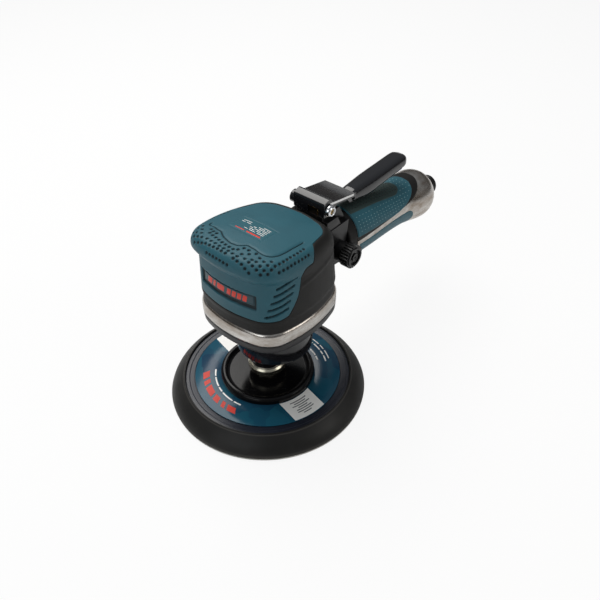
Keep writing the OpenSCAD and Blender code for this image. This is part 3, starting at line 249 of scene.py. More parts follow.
FINISH = {
    "hook_fabric": finish("hook_fabric", (0.55, 0.54, 0.5), 0.9, grain=0.8, grain_size=1.0, sheen=0.3),
    "pad_rubber": finish("pad_rubber", (0.0085, 0.0083, 0.0078), 0.48, grain=0.35, grain_size=0.5,
                         mottle=0.2, spec=0.26),
    "navy_plate": finish("navy_plate", (0.011, 0.014, 0.024), 0.34, grain=0.12),
    "label_print": finish("label_print", (0.008, 0.062, 0.115), 0.16, coat=0.05, spec=0.25),
    "hub_black": finish("hub_black", (0.003, 0.003, 0.0035), 0.16, grain=0.06, spec=0.2),
    "collar_steel": finish("collar_steel", (0.5, 0.47, 0.38), 0.26, metal=1.0, grain=0.1),
    "bright_steel": finish("bright_steel", (0.6, 0.6, 0.6), 0.25, metal=1.0, grain=0.08),
    "black_gloss_metal": finish("black_gloss_metal", (0.005, 0.005, 0.006), 0.1, coat=0.4),
    "bearing_steel": finish("bearing_steel", (0.58, 0.59, 0.6), 0.2, metal=1.0),
    "grey_iron": finish("grey_iron", (0.22, 0.22, 0.22), 0.5, metal=1.0, grain=0.4, grain_size=0.7),
    "vane_fibre": finish("vane_fibre", (0.3, 0.16, 0.06), 0.6, grain=0.3),
    "dark_metal": finish("dark_metal", (0.016, 0.016, 0.017), 0.38, grain=0.2, grain_size=0.6,
                         spec=0.4),
    "gasket_fibre": finish("gasket_fibre", (0.12, 0.1, 0.07), 0.85, grain=0.5),
    "seal_rubber": finish("seal_rubber", (0.012, 0.012, 0.012), 0.6),
    "cast_aluminium": finish("cast_aluminium", (0.62, 0.6, 0.57), 0.24, metal=1.0, grain=0.2,
                             grain_size=0.9, mottle=0.12, smear=0.35),
    "black_rubber": finish("black_rubber", (0.008, 0.0077, 0.0073), 0.52, grain=0.22, grain_size=0.35,
                           spec=0.2),
    "teal_rubber": finish("teal_rubber", (0.019, 0.093, 0.124), 0.5, grain=0.22, grain_size=0.35,
                          mottle=0.06, spec=0.3),
    "badge_plastic": finish("badge_plastic", (0.012, 0.045, 0.06), 0.35, coat=0.06, spec=0.3),
    "felt": finish("felt", (0.42, 0.4, 0.34), 0.95, grain=0.8, grain_size=0.8, sheen=0.4),
    "black_nylon": finish("black_nylon", (0.0075, 0.0075, 0.008), 0.36, grain=0.25, grain_size=0.5,
                          spec=0.35),
    "brass": finish("brass", (0.72, 0.5, 0.2), 0.25, metal=1.0, grain=0.08),
    "spring_steel": finish("spring_steel", (0.6, 0.47, 0.27), 0.25, metal=1.0),
    "cap_chrome": finish("cap_chrome", (0.75, 0.76, 0.78), 0.12, metal=1.0),
    "screw_black": finish("screw_black", (0.012, 0.012, 0.012), 0.3, metal=0.6),
    "lever_gloss": finish("lever_gloss", (0.006, 0.0065, 0.0085), 0.2, coat=0.3, spec=0.4),
    "bumper_blue": finish("bumper_blue", (0.012, 0.02, 0.2), 0.45),
    "patch_green": finish("patch_green", (0.026, 0.046, 0.043), 0.55, grain=0.22, grain_size=0.35,
                          spec=0.3),
}
print("finishes:", len(FINISH))

# %% [markdown]
# ## Making a surface
# Nearly every piece here is one closed sheet: a grid of points whose rows wrap round or end
# in a pole. make_piece turns such a grid into a mesh. Points that fall together at a pole or
# a seam are merged, and the faces are then turned outwards. The other helpers make the
# grids: rounded outlines, turned shapes, smooth steps and softened curves.

# %% From a grid of points to a piece
def place_mesh(name, mesh, material, body):
    """Puts a mesh into the scene with smooth faces and one material, riding on a body."""
    mesh.polygons.foreach_set("use_smooth", np.ones(len(mesh.polygons), bool))
    mesh.materials.append(material)
    obj = bpy.data.objects.new(name, mesh)
    scene.collection.objects.link(obj)
    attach(obj, body)
    return obj


def smoothed(x):
    """A step from 0 to 1 that starts and ends level, for x from 0 to 1."""
    return x * x * (3 - 2 * x)


def averaged(values, width):
    """A row of values with its corners rounded off: each value becomes a weighted mean of
    width values around it."""
    window = np.hanning(width + 2)[1:-1]
    padded = np.pad(values, width, "edge")
    return np.convolve(padded, window / window.sum(), "same")[width:-width]


def grid_faces(rows, cols, wrap_rows, wrap_cols):
    """Quads between neighbouring rows and columns, as index arrays made all at once."""
    i = np.arange(rows if wrap_rows else rows - 1)[:, None]
    j = np.arange(cols if wrap_cols else cols - 1)[None, :]
    i2, j2 = (i + 1) % rows, (j + 1) % cols
    return np.stack([i * cols + j, i2 * cols + j, i2 * cols + j2, i * cols + j2], -1).reshape(-1, 4)


WELD = 0.002


def make_piece(name, grids, body, slot_name, replaces=(), sharp=35, marks=None, material=None):
    """One object from several grids. Each grid is (points[rows, cols, 3] in mm, wrap_rows,
    wrap_cols). Points nearer than WELD are merged. marks is a dict of name to one value per
    point, in the same order, and becomes a vertex attribute that the material reads."""
    points, faces, start = [], [], 0
    for xyz, wrap_rows, wrap_cols in grids:
        rows, cols = xyz.shape[:2]
        points.append(xyz.reshape(-1, 3))
        faces.append(grid_faces(rows, cols, wrap_rows, wrap_cols) + start)
        start += rows * cols
    points, faces = np.concatenate(points) * MM, np.concatenate(faces)
    mesh = bpy.data.meshes.new(name)
    mesh.from_pydata(points.tolist(), [], faces.tolist())
    for key, values in (marks or {}).items():
        layer = mesh.attributes.new(key, "FLOAT", "POINT")
        layer.data.foreach_set("value", np.asarray(values, np.float32).ravel())
    bm = bmesh.new()
    bm.from_mesh(mesh)
    bmesh.ops.remove_doubles(bm, verts=bm.verts, dist=WELD * MM)
    bmesh.ops.dissolve_degenerate(bm, edges=bm.edges, dist=1e-7)
    bmesh.ops.recalc_face_normals(bm, faces=bm.faces)
    open_edges = sum(1 for e in bm.edges if len(e.link_faces) != 2)
    bm.to_mesh(mesh)
    bm.free()
    obj = place_mesh(name, mesh, material or FINISH[slot_name], body)
    mesh.set_sharp_from_angle(angle=math.radians(sharp))
    if replaces:
        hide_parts(*replaces)
    print(f"{name}: {len(mesh.polygons)} faces, {open_edges} open edges")


def capped(grid):
    """A tube closed at both ends: the grid with one more row before and after it, at the middle
    of its first and of its last row."""
    first = grid[:1].mean(1, keepdims=True) + 0 * grid[:1]
    last = grid[-1:].mean(1, keepdims=True) + 0 * grid[-1:]
    return np.concatenate([first, grid, last])


def fillet(corners, radii, steps=5):
    """A closed outline with rounded corners. At each corner an arc of the given radius
    touches both neighbouring lines, swept in even steps of angle."""
    pts = np.asarray(corners, float)
    rad = np.broadcast_to(np.asarray(radii, float), (len(pts),))
    before, after = np.roll(pts, 1, 0) - pts, np.roll(pts, -1, 0) - pts
    lb, la = np.linalg.norm(before, axis=1), np.linalg.norm(after, axis=1)
    ub, ua = before / lb[:, None], after / la[:, None]
    half = np.arccos(np.clip((ub * ua).sum(1), -1, 1)) / 2
    cut_back = np.minimum(rad / np.tan(half), 0.49 * np.minimum(lb, la))
    r = cut_back * np.tan(half)
    mid = ub + ua
    mid /= np.maximum(np.linalg.norm(mid, axis=1), 1e-9)[:, None]
    centre = pts + mid * (r / np.sin(half))[:, None]
    t0, t1 = pts + ub * cut_back[:, None] - centre, pts + ua * cut_back[:, None] - centre
    a0 = np.arctan2(t0[:, 1], t0[:, 0])
    turn = (np.arctan2(t1[:, 1], t1[:, 0]) - a0 + np.pi) % (2 * np.pi) - np.pi
    a = a0[:, None] + turn[:, None] * np.linspace(0, 1, steps)[None, :]
    arc = centre[:, None, :] + r[:, None, None] * np.stack([np.cos(a), np.sin(a)], -1)
    return arc.reshape(-1, 2)


def lathe(profile, steps, centre):
    """A profile of (radius, height) turned about a vertical axis through centre: the point
    at angle a is (radius cos a, radius sin a, height)."""
    a = np.linspace(0, 2 * np.pi, steps, endpoint=False)[:, None]
    r, z = profile[:, 0][None, :], profile[:, 1][None, :]
    return np.stack([centre[0] + r * np.cos(a), centre[1] + r * np.sin(a), z + 0 * a], -1)


print("helpers ready")

# %% [markdown]
# ## The pad
# The sanding pad is a moulded rubber skirt on a stepped backing plate. Both are turned
# shapes, so each is a profile spun about the pad's axis. A turned profile with small
# rounded corners catches the light along its edges, which a sharp one doesn't. The pad's
# axis lies five millimetres off the motor's axis, because that offset is what makes the
# sander orbit.

# %% Rubber skirt and stepped plate
THROW, PHASE = 5, math.radians(160)
ORBIT = (THROW * math.cos(PHASE), THROW * math.sin(PHASE))

t = np.linspace(0, 1, 9)
flank = np.stack([75 - 10 * t + 1.6 * np.sin(np.pi * t), 2.6 + 12.4 * t], -1)
skirt = np.concatenate([
    fillet([(9.1, 1.25), (74.9, 1.25), (75.0, 2.5)], [0, 0.5, 0.2])[5:],
    flank[1:],
    fillet([(64.6, 15.98), (63.35, 15.98), (63.05, 15.2)], [0.5, 0.3, 0.1])[:15],
    [(63.05, 9.05), (9.1, 9.05), (9.1, 1.3)]])
make_piece("rubber_skirt", [(lathe(skirt, 192, ORBIT), True, True)], "pad", "pad_rubber",
           replaces=["pad_skirt"], sharp=30)

plate = fillet([(9.1, 9.1), (63.0, 9.1), (63.0, 14.3), (62.2, 14.42), (60.2, 14.4), (59.6, 14.0),
                (56.2, 13.98), (56.0, 13.5), (9.1, 13.5)],
               [0, 0.2, 0.35, 0.4, 0.4, 0.3, 0.2, 0, 0], 4)
make_piece("stepped_plate", [(lathe(plate, 192, ORBIT), True, True)], "pad", "navy_plate",
           replaces=["backing_plate"], sharp=28)

# %% [markdown]
# The skirt's rubber is dull and nearly black, with fine rings left by the mould and paler
# lines on its rims that are painted highlights. The rings are a noise that is read at the
# distance from the pad's axis, and the painted highlights follow the same distance.

# %% Rings and worn rims of the skirt
def rings(material, centre, fine_scale, strength, rim_highlights, highlight_colour):
    """Adds a bump of concentric rings about centre (in mm), and paints highlights in the given
    colour at the rows (radius, width, amount) of rim lines, in mm."""
    n, l, p = parts_of(material)
    at = n.new("ShaderNodeTexCoord")
    shift = n.new("ShaderNodeMapping")
    shift.inputs["Location"].default_value = (-centre[0] * MM, -centre[1] * MM, 0)
    l.new(at.outputs["Object"], shift.inputs[0])
    flat = n.new("ShaderNodeVectorMath")
    flat.operation = "MULTIPLY"
    flat.inputs[1].default_value = (1, 1, 0)
    l.new(shift.outputs[0], flat.inputs[0])
    far = n.new("ShaderNodeVectorMath")
    far.operation = "LENGTH"
    l.new(flat.outputs[0], far.inputs[0])
    wave = n.new("ShaderNodeTexNoise")
    wave.noise_dimensions = "1D"
    wave.inputs["Scale"].default_value = fine_scale
    wave.inputs["Detail"].default_value = 3
    l.new(far.outputs["Value"], wave.inputs["W"])
    add_bump(material, wave.outputs["Fac"], strength, 0.1)
    colour = p.inputs["Base Color"].links[0].from_socket
    for radius, width, amount in rim_highlights:
        off = n.new("ShaderNodeMath")
        off.operation = "SUBTRACT"
        off.inputs[1].default_value = radius * MM
        l.new(far.outputs["Value"], off.inputs[0])
        size = n.new("ShaderNodeMath")
        size.operation = "ABSOLUTE"
        l.new(off.outputs[0], size.inputs[0])
        near = n.new("ShaderNodeMapRange")
        near.inputs["From Min"].default_value = 0
        near.inputs["From Max"].default_value = width * MM
        near.inputs["To Min"].default_value = amount
        near.inputs["To Max"].default_value = 0
        l.new(size.outputs[0], near.inputs["Value"])
        colour = mix_in(material, near.outputs[0], highlight_colour, colour)
    l.new(colour, p.inputs["Base Color"])


# The paler lines on the rims of the skirt and the plate are painted highlights.
rings(FINISH["pad_rubber"], ORBIT, 900, 0.5, highlight_colour=(0.085, 0.08, 0.072),
      rim_highlights=[(74.9, 0.7, 0.55), (64.8, 0.5, 0.5), (63.2, 0.4, 0.3)])
rings(FINISH["navy_plate"], ORBIT, 700, 0.2, highlight_colour=(0.05, 0.055, 0.07),
      rim_highlights=[(62.6, 0.35, 0.3), (59.9, 0.3, 0.4)])
print("skirt and plate finished")

# %% [markdown]
# ## The printed disc
# A glossy film covers the middle of the plate, between the hub's ring and the plate's step.
# It is printed in petrol blue with broad facets in slightly different blues, like folded
# paper, and it has two plain white fields and a few plain bars. The facets are cells of a
# Voronoi pattern. The fields and bars are thin films on top: the red and the fine white
# bars are bent along arcs of the disc, and the white fields and the grey bars are straight.

# %% Disc, fields and bars
disc = fillet([(33.2, 13.95), (55.7, 13.95), (55.7, 14.48), (33.2, 14.48)], 0.06, 3)
make_piece("printed_disc", [(lathe(disc, 192, ORBIT), True, True)], "pad", "label_print",
           replaces=["pad_label"])


def facets(material, cell, colours):
    """Colours broad flat cells of about cell mm: each Voronoi cell takes one tone of a ramp."""
    n, l, p = parts_of(material)
    at = n.new("ShaderNodeTexCoord")
    cells = n.new("ShaderNodeTexVoronoi")
    cells.voronoi_dimensions = "2D"
    cells.distance = "CHEBYCHEV"
    cells.inputs["Scale"].default_value = 1000 / cell
    l.new(at.outputs["Object"], cells.inputs["Vector"])
    split = n.new("ShaderNodeSeparateColor")
    l.new(cells.outputs["Color"], split.inputs[0])
    ramp = n.new("ShaderNodeValToRGB")
    ramp.color_ramp.interpolation = "LINEAR"
    ramp.color_ramp.elements[0].color = (*colours[0], 1)
    ramp.color_ramp.elements[1].color = (*colours[1], 1)
    l.new(split.outputs[0], ramp.inputs[0])
    l.new(ramp.outputs[0], p.inputs["Base Color"])


facets(FINISH["label_print"], 17, [(0.007, 0.04, 0.082), (0.012, 0.088, 0.135)])


DISC_TOP, BAR_LIFT, HALF_FILM = 14.5, 0.03, 0.05


def closed_film(x, y, z, lift):
    """A thin film over the points (x, y), from lift under the height z to lift over it. Its two
    ends are closed by repeating the first and the last column at the height z."""
    top = np.stack([x, y, z + lift + 0 * x], -1)
    low = np.stack([x, y, z - lift + 0 * x], -1)
    grid = np.concatenate([low, top[::-1]])
    first, last, count = grid[:, :1].copy(), grid[:, -1:].copy(), len(x)
    first[count:], last[count:] = first[:count][::-1], last[:count][::-1]
    first[..., 2] = last[..., 2] = z
    return np.concatenate([first, grid, last], 1), True, False


def arc_film(r0, r1, a0, a1, cols, skew=0.0):
    """A film on the disc from radius r0 to r1 and from angle a0 to a1 in degrees, 0.1 mm thick.
    skew turns its outer edge by so many degrees, so that its ends lean."""
    u = np.linspace(0, 1, 4)[:, None]
    v = np.linspace(0, 1, cols)[None, :]
    r = r0 + (r1 - r0) * u + 0 * v
    a = np.radians(a0 + (a1 - a0) * v + skew * u)
    x, y = ORBIT[0] + r * np.cos(a), ORBIT[1] + r * np.sin(a)
    return closed_film(x, y, DISC_TOP + BAR_LIFT, HALF_FILM)


ink_white = finish("ink_white", (0.84, 0.83, 0.8), 0.35, coat=0.3, mottle=0.02)
ink_red = finish("ink_red", (0.6, 0.035, 0.018), 0.4, coat=0.05, mottle=0.03, spec=0.3)
STRIP_TURN = math.radians(-102.6)


def straight_film(r0, r1, half, z, turn, cols, lift):
    """A film with straight sides: half mm to each side of a line through the disc's axis at
    turn, between the circles of radius r0 and r1. Its ends follow the circles."""
    v = np.linspace(-half, half, cols)[None, :]
    u = np.linspace(0, 1, 8)[:, None]
    far = np.sqrt(r0 ** 2 - v ** 2) * (1 - u) + np.sqrt(r1 ** 2 - v ** 2) * u
    x = ORBIT[0] + far * math.cos(turn) - v * math.sin(turn)
    y = ORBIT[1] + far * math.sin(turn) + v * math.cos(turn)
    return closed_film(x, y, z, lift)


fields = [straight_film(36.2, 55.3, 13, DISC_TOP, STRIP_TURN + turn, 24, HALF_FILM)
          for turn in (0, math.pi)]
make_piece("white_fields", fields, "pad", "label_print", material=ink_white)
bars_red = [arc_film(44.6, 49.6, a, a + w, 8, skew=3)
            for a, w in ((131, 8), (142, 5), (150, 11), (164, 7), (175, 4), (182, 9))]
make_piece("red_bars", bars_red, "pad", "label_print", material=ink_red)
bars_white = []
for r0, r1, spans in ((39.6, 40.7, ((129, 10), (141, 14), (157, 7), (166, 16), (184, 9), (-34, 6),
                                    (-26, 11), (-13, 8))),
                      (45.5, 46.5, ((-38, 8), (-28, 5), (-21, 10), (-9, 6))),
                      (48.6, 49.4, ((-35, 11), (-22, 6), (-14, 9)))):
    bars_white += [arc_film(r0, r1, a, a + w, 6) for a, w in spans]
make_piece("fine_bars", bars_white, "pad", "label_print", material=ink_white)
bars_grey = [straight_film(r, r + 0.8, half, DISC_TOP + 2 * BAR_LIFT, STRIP_TURN, 8, 0.04)
             for r, half in ((39, 7), (41, 5), (43, 7.5), (45, 4), (47, 6.5), (49, 7), (51, 3.5))]
make_piece("strip_bars", bars_grey, "pad", "label_print",
           material=finish("ink_grey", (0.09, 0.1, 0.11), 0.35, coat=0.3))

# %% [markdown]
# ## Hub and spindle
# A black moulded ring with a dished middle holds the disc down. Through its centre comes
# the pad's spindle: a hexagon for the spanner, a plated collar with chamfered edges, a
# washer, and a black sleeve that keeps dust out of the bearings. Above them turns the
# counterweight, a polished black drum that reflects its surroundings.

# %% Turned parts on the pad's axis
hub = fillet([(4.05, 4.0), (9.0, 4.0), (9.0, 13.9), (32.6, 13.9), (32.6, 14.5), (35.8, 14.5),
              (35.8, 17.4), (34.9, 18.9), (33.8, 19.48), (32.4, 19.48), (31.5, 18.8), (30.8, 17.2),
              (29.2, 16.52), (4.05, 16.52)],
             [0, 0, 0, 0, 0, 0.1, 0.8, 0.7, 0.6, 0.5, 0.5, 0.7, 1.0, 0], 5)
make_piece("hub_ring", [(lathe(hub, 160, ORBIT), True, True)], "pad", "hub_black",
           replaces=["pad_hub"], sharp=50)

corner = np.radians(60 * np.arange(6))
hexagon = np.stack([np.cos(corner), np.sin(corner)], -1) * 17 / math.sqrt(3)
flat = fillet(hexagon, 0.9, 5)
spin = np.arctan2(flat[:, 1], flat[:, 0])
size = np.hypot(flat[:, 0], flat[:, 1])
levels = np.array([(0.0, 15.0), (1.0, 15.0), (1.0, 21.1), (0.97, 21.5), (0.0, 21.5)])
hexagon_body = np.stack([ORBIT[0] + levels[:, :1] * size * np.cos(spin),
                         ORBIT[1] + levels[:, :1] * size * np.sin(spin),
                         levels[:, 1:] + 0 * size], -1)
nut_collar = fillet([(0.01, 21.5), (13.2, 21.5), (14.3, 22.6), (14.3, 26.5), (12.9, 28.0),
                     (0.01, 28.0)], [0, 0.3, 0.4, 0.4, 0.4, 0], 5)
stud = np.array([(0.01, 5.0), (3.97, 5.0), (3.97, 15.2), (0.01, 15.2)])
post = np.array([(0.01, 27.6), (6.0, 27.6), (6.0, 60.0), (0.01, 60.0)])
make_piece("spindle_nut", [(hexagon_body, False, True), (lathe(nut_collar, 96, ORBIT), True, True),
                           (lathe(stud, 48, ORBIT), True, True), (lathe(post, 64, ORBIT), True, True)],
           "pad", "collar_steel", replaces=["pad_spindle"], sharp=30)

sleeve = fillet([(6.05, 29), (11.5, 29), (11.5, 32), (10.5, 32.6), (10.5, 33.6), (11.5, 34.2),
                 (11.5, 41.4), (10.5, 42.4), (6.05, 42.4)],
                [0, 0.3, 0.4, 0.2, 0.2, 0.4, 0.4, 0.3, 0], 4)
make_piece("dust_sleeve", [(lathe(sleeve, 96, ORBIT), True, True)], "pad", "hub_black",
           replaces=["spindle_shield"], sharp=40)

drum_axis = (-ORBIT[0] / 2, -ORBIT[1] / 2)
drum = fillet([(20.5, 43.0), (26.7, 43.0), (28.3, 44.6), (28.3, 73.7), (27.5, 74.5), (20.5, 74.5)],
              [0, 0.9, 0.9, 0.5, 0.4, 0], 6)
make_piece("weight_drum", [(lathe(drum, 160, drum_axis), True, True)], "spindle", "black_gloss_metal",
           replaces=["counterweight"], sharp=50)
print("turned parts done; drum axis", [round(v, 2) for v in drum_axis])

# %% [markdown]
# ## The head: one family of curves
# Seen from above, the head is a rounded square whose sides bow gently outwards. Flange,
# band, wall, lip and crown all use this one outline at different sizes, so they keep the
# same flow. The outline is worked out once as a radius for every direction, and each level
# of the head is that radius function for its own half sizes.

# %% The outline as a radius for each direction
TURN = math.radians(15)


def outline_points(length, width, radius, steps=24):
    """Four corner arcs of radius, each trimmed by TURN at both ends, joined by parabolas that
    leave the arcs along their tangents. length and width are the half sizes at the arcs."""
    out = []
    for q in range(4):
        sx, sy = (1, -1, -1, 1)[q], (1, 1, -1, -1)[q]
        ex, ey = (-1, -1, 1, 1)[q], (1, -1, -1, 1)[q]
        face = math.radians(90 * q + 90)
        a = np.linspace(math.radians(90 * q) + TURN, face - TURN, steps)
        centre = np.array([sx * (length - radius), sy * (width - radius)])
        arc = centre + radius * np.stack([np.cos(a), np.sin(a)], -1)
        goal = np.array([ex * (length - radius), ey * (width - radius)])
        goal = goal + radius * np.array([math.cos(face + TURN), math.sin(face + TURN)])
        k = np.linspace(0, 1, steps)[1:-1, None]
        bow = np.linalg.norm(goal - arc[-1]) * math.tan(TURN) / 4
        outward = np.array([math.cos(face), math.sin(face)])
        side = arc[-1] + (goal - arc[-1]) * k + bow * 4 * k * (1 - k) * outward
        out += [arc, side]
    return np.concatenate(out)


def radius_of(length, width, radius, taper=0.0):
    """A function that gives the outline's radius for any angle. taper narrows the outline
    towards +X by that many millimetres of half width."""
    pts = outline_points(length, width, radius)
    pts = pts * np.stack([np.ones(len(pts)), 1 - taper / width * (pts[:, 0] / length + 1) / 2], -1)
    a = np.arctan2(pts[:, 1], pts[:, 0])
    order = np.argsort(a)
    a, r = a[order], np.hypot(pts[:, 0], pts[:, 1])[order]
    a = np.concatenate([a - 2 * np.pi, a, a + 2 * np.pi])
    r = np.concatenate([r, r, r])
    return lambda angle: np.interp((np.asarray(angle) + np.pi) % (2 * np.pi) - np.pi, a, r)


def band_radius(inset):
    """The band's outline, drawn in by inset millimetres."""
    return radius_of(40.6 - inset, 38.6 - inset, 20.7 - 0.6 * inset)


def stacked(profile, hole):
    """A body of level rings. profile rows are (inset, height): each ring is the head's outline
    at that inset. The body is closed along a round opening of radius hole."""
    angle = np.linspace(0, 2 * np.pi, 240, endpoint=False)
    rows = []
    for inset, z in profile:
        r = band_radius(inset)(angle)
        rows.append(np.stack([r * np.cos(angle), r * np.sin(angle), z + 0 * r], -1))
    for z in (profile[-1][1], profile[0][1]):
        rows.append(np.stack([hole * np.cos(angle), hole * np.sin(angle), z + 0 * angle], -1))
    return np.stack(rows), True, True


print("outline reaches", round(float(band_radius(0)(0.0)), 2), "along X")

# %% [markdown]
# ## Flange and band
# A black flange closes the head from below, and over it a cast band of aluminium shows all
# round the head. The casting was ground and polished by hand: it has soft edges, small pits
# and streaks along its length, and it mirrors warm and dark things in the workshop. Warm
# brown patches along the streaks are painted reflection in its colour.

# %% Flange and polished band
flange_rows = [(1.5, 75.05), (1.1, 75.0), (0.75, 75.3), (0.45, 76.2), (0.28, 78.0), (0.2, 79.6),
               (0.2, 80.7), (0.45, 81.1), (0.9, 81.18)]
make_piece("flange_body", [stacked(flange_rows, hole=31)], "housing", "dark_metal",
           replaces=["lower_flange"], sharp=55)
band_rows = [(1.6, 81.62), (0.35, 81.66), (-0.02, 82.0), (-0.06, 82.8), (-0.06, 88.6), (0.02, 89.6),
             (0.3, 90.6), (0.8, 91.5), (1.4, 92.05), (2.2, 92.2), (3.4, 92.2)]
make_piece("polished_band", [stacked(band_rows, hole=34)], "housing", "cast_aluminium", sharp=50)


def streaks_and_painted_reflection(material, stretch, amount, reflection_brown):
    """Streaks on hand-polished metal: a noise stretched by the factors in stretch moves the
    colour from a painted warm brown reflection to pale, and bumps the surface by amount."""
    n, l, p = parts_of(material)
    at = n.new("ShaderNodeTexCoord")
    shape = n.new("ShaderNodeMapping")
    shape.inputs["Scale"].default_value = stretch
    l.new(at.outputs["Object"], shape.inputs[0])
    noise = n.new("ShaderNodeTexNoise")
    noise.inputs["Scale"].default_value = 30
    noise.inputs["Detail"].default_value = 7
    noise.inputs["Roughness"].default_value = 0.7
    l.new(shape.outputs[0], noise.inputs["Vector"])
    ramp = n.new("ShaderNodeValToRGB")
    ramp.color_ramp.elements[0].position = 0.38
    ramp.color_ramp.elements[0].color = (*reflection_brown, 1)
    ramp.color_ramp.elements[1].position = 0.66
    ramp.color_ramp.elements[1].color = (0.62, 0.61, 0.59, 1)
    l.new(noise.outputs["Fac"], ramp.inputs[0])
    l.new(ramp.outputs[0], p.inputs["Base Color"])
    add_bump(material, noise.outputs["Fac"], amount, 0.25)


# The band and the handle share these streaks. Their brown end is painted reflection, and their bump is
# real.
streaks_and_painted_reflection(FINISH["cast_aluminium"], (1, 1, 3), 0.35, (0.27, 0.225, 0.185))

# %% [markdown]
# ## Wall, lip and crown
# Above the band the wall rises to a sloping lip, rolls over a rounded edge and closes in a
# gently domed crown. One function gives any point of this skin from a direction and a
# height number: 0 to 1 climbs the wall, 1 to 2 rolls over the edge along a quarter of an
# ellipse, and 2 to 3 runs in over the crown to its middle. Two covers share the skin. A
# black one wraps the back and the sides, and a petrol coloured one, soft to the touch,
# covers the nose, the front of the sides and the crown.

# %% The skin of the head
LIP = 134.8
FALL = math.tan(math.radians(8))
CROWN_X = -1.9
LOW = 92.2
EDGE_IN, EDGE_UP = 7.3, 9.9
EDGE_HALF = 42
DOME_UP = 3
SWELL = 7
lip_radius = radius_of(40.8, 39.0, 18.7, taper=4)
wall_radius = band_radius(1.2)
shoulder_radius = band_radius(0.7)
lean_radius = band_radius(1.9)


def skin(angle, level):
    """The head's skin. For level 0 to 1 the height runs evenly from LOW to the sloping lip. The
    wall steps out by 0.5 at the shell's foot, leans in by 1.2 on its way up, and over the
    last SWELL millimetres it swells to the lip by 1 minus the 1.5th power of the drop. For 1
    to 2 the inset is EDGE_IN (1 - cos) and the rise EDGE_UP sin of the same quarter turn. From
    2 to 3 the outline shrinks evenly and the crown rises by DOME_UP on a parabola."""
    angle, level = np.broadcast_arrays(np.asarray(angle, float), np.asarray(level, float))
    u = np.clip(level, 0, 1)
    quarter = np.clip(level - 1, 0, 1) * np.pi / 2
    v = np.clip(level - 2, 0, 1)
    r_lip, r_wall, r_mid = lip_radius(angle), wall_radius(angle), shoulder_radius(angle)
    lip_z = LIP - FALL * r_lip * np.cos(angle)
    z = LOW + (lip_z - LOW) * u
    swell = np.clip((lip_z - z) / SWELL, 0, 1) ** 1.5
    foot = smoothed(np.clip((z - 97.5) / 4, 0, 1))
    lean = np.clip((z - 101.5) / (lip_z - SWELL - 101.5), 0, 1)
    wall = r_wall + (r_mid - r_wall) * foot + (lean_radius(angle) - r_mid) * lean
    r = wall * swell + r_lip * (1 - swell)
    shift = -0.4 * lean * swell + CROWN_X * (1 - swell)
    inset = EDGE_IN * (1 - np.cos(quarter))
    r = r * (1 - inset / EDGE_HALF) * (1 - v)
    x, y = shift + r * np.cos(angle), r * np.sin(angle)
    fall = np.where(level > 1, FALL * (r_lip * np.cos(angle) - (x - CROWN_X)), 0)
    z = z + fall + EDGE_UP * np.sin(quarter) + DOME_UP * (1 - (1 - v) ** 2)
    return np.stack([x, y, z], -1)


def normals(xyz):
    """Unit normals of a grid: the cross product of its two directions of travel, turned away
    from the head's middle."""
    d_row, d_col = np.gradient(xyz, axis=0), np.gradient(xyz, axis=1)
    n = np.cross(d_row, d_col)
    n /= np.maximum(np.linalg.norm(n, axis=-1), 1e-9)[..., None]
    out = xyz - np.array([0, 0, 118.0])
    return n * np.sign((n * out).sum(-1))[..., None]


def level_of(z, angle):
    """The wall's level at height z: the inverse of the even climb from LOW to the lip."""
    return (z - LOW) / (LIP - FALL * lip_radius(angle) * np.cos(angle) - LOW)


def crown_level(x, y):
    """Direction and level of a point of the crown seen from above: the shrink of its distance
    against the lip's radius gives first the rounded edge and then the crown."""
    angle = np.arctan2(y, np.asarray(x) - CROWN_X)
    far = np.hypot(np.asarray(x) - CROWN_X, y) / lip_radius(angle)
    edge = 1 - EDGE_IN / EDGE_HALF
    turn = np.arccos(np.clip(1 - (1 - far) * EDGE_HALF / EDGE_IN, -1, 1))
    return angle, np.where(far > edge, 1 + turn / (np.pi / 2), 2 + 1 - far / edge)


print("crown's middle at", skin(0.0, 3.0).round(2))

# %% [markdown]
# The joint between the two covers is a curve on that skin. It runs low round the nose,
# turns up behind the vents, meets the lip, and then crosses the crown to the back. As the
# curve meets every direction just once, it can be written as a level for each direction.

# %% The joint between the covers, and the groove
def smooth_ring(points, soft):
    """A level for every direction, from a few (degrees, level) points: straight stretches
    between them, averaged over soft degrees."""
    at, level = np.array(points, float).T
    fine = np.arange(-240.0, 240.0, 0.5)
    return np.radians(fine), averaged(np.interp(fine, at, level), int(2 * soft))


half_joint = [(-180, 0.215), (-128, 0.23), (-120, 0.26), (-114.6, 0.375), (-109.2, 0.52),
              (-106.4, 0.66), (-104.2, 0.85), (-98.6, 0.975), (-86, 1.05), (-82, 1.4),
              (-74, 1.88), (-64, 1.925), (-50, 1.92), (-37, 2.0), (-23, 2.0), (0, 1.95)]
joint_at, joint_lv = smooth_ring(half_joint, 2.5)


def joint_level(angle):
    """Level of the joint for a direction, the same on both sides of the sander."""
    a = -np.abs((np.asarray(angle) + np.pi) % (2 * np.pi) - np.pi)
    return np.interp(a, joint_at, joint_lv)


groove_points = [(122, 2.08), (129, 2.08), (135, 2.205), (147.5, 2.28), (160, 2.22),
                 (177, 2.18), (188, 2.2), (199.5, 2.305), (212, 2.265), (224, 2.14), (231.5, 2.095),
                 (239.5, 2.077), (260, 2.113), (282, 2.107)]
around_deg = np.linspace(122, 282, 321)
groove_lv = averaged(np.interp(around_deg, *np.array(groove_points).T), 13)
groove_angle = np.radians(around_deg)
print("joint and groove:", len(half_joint), len(groove_points), "points")
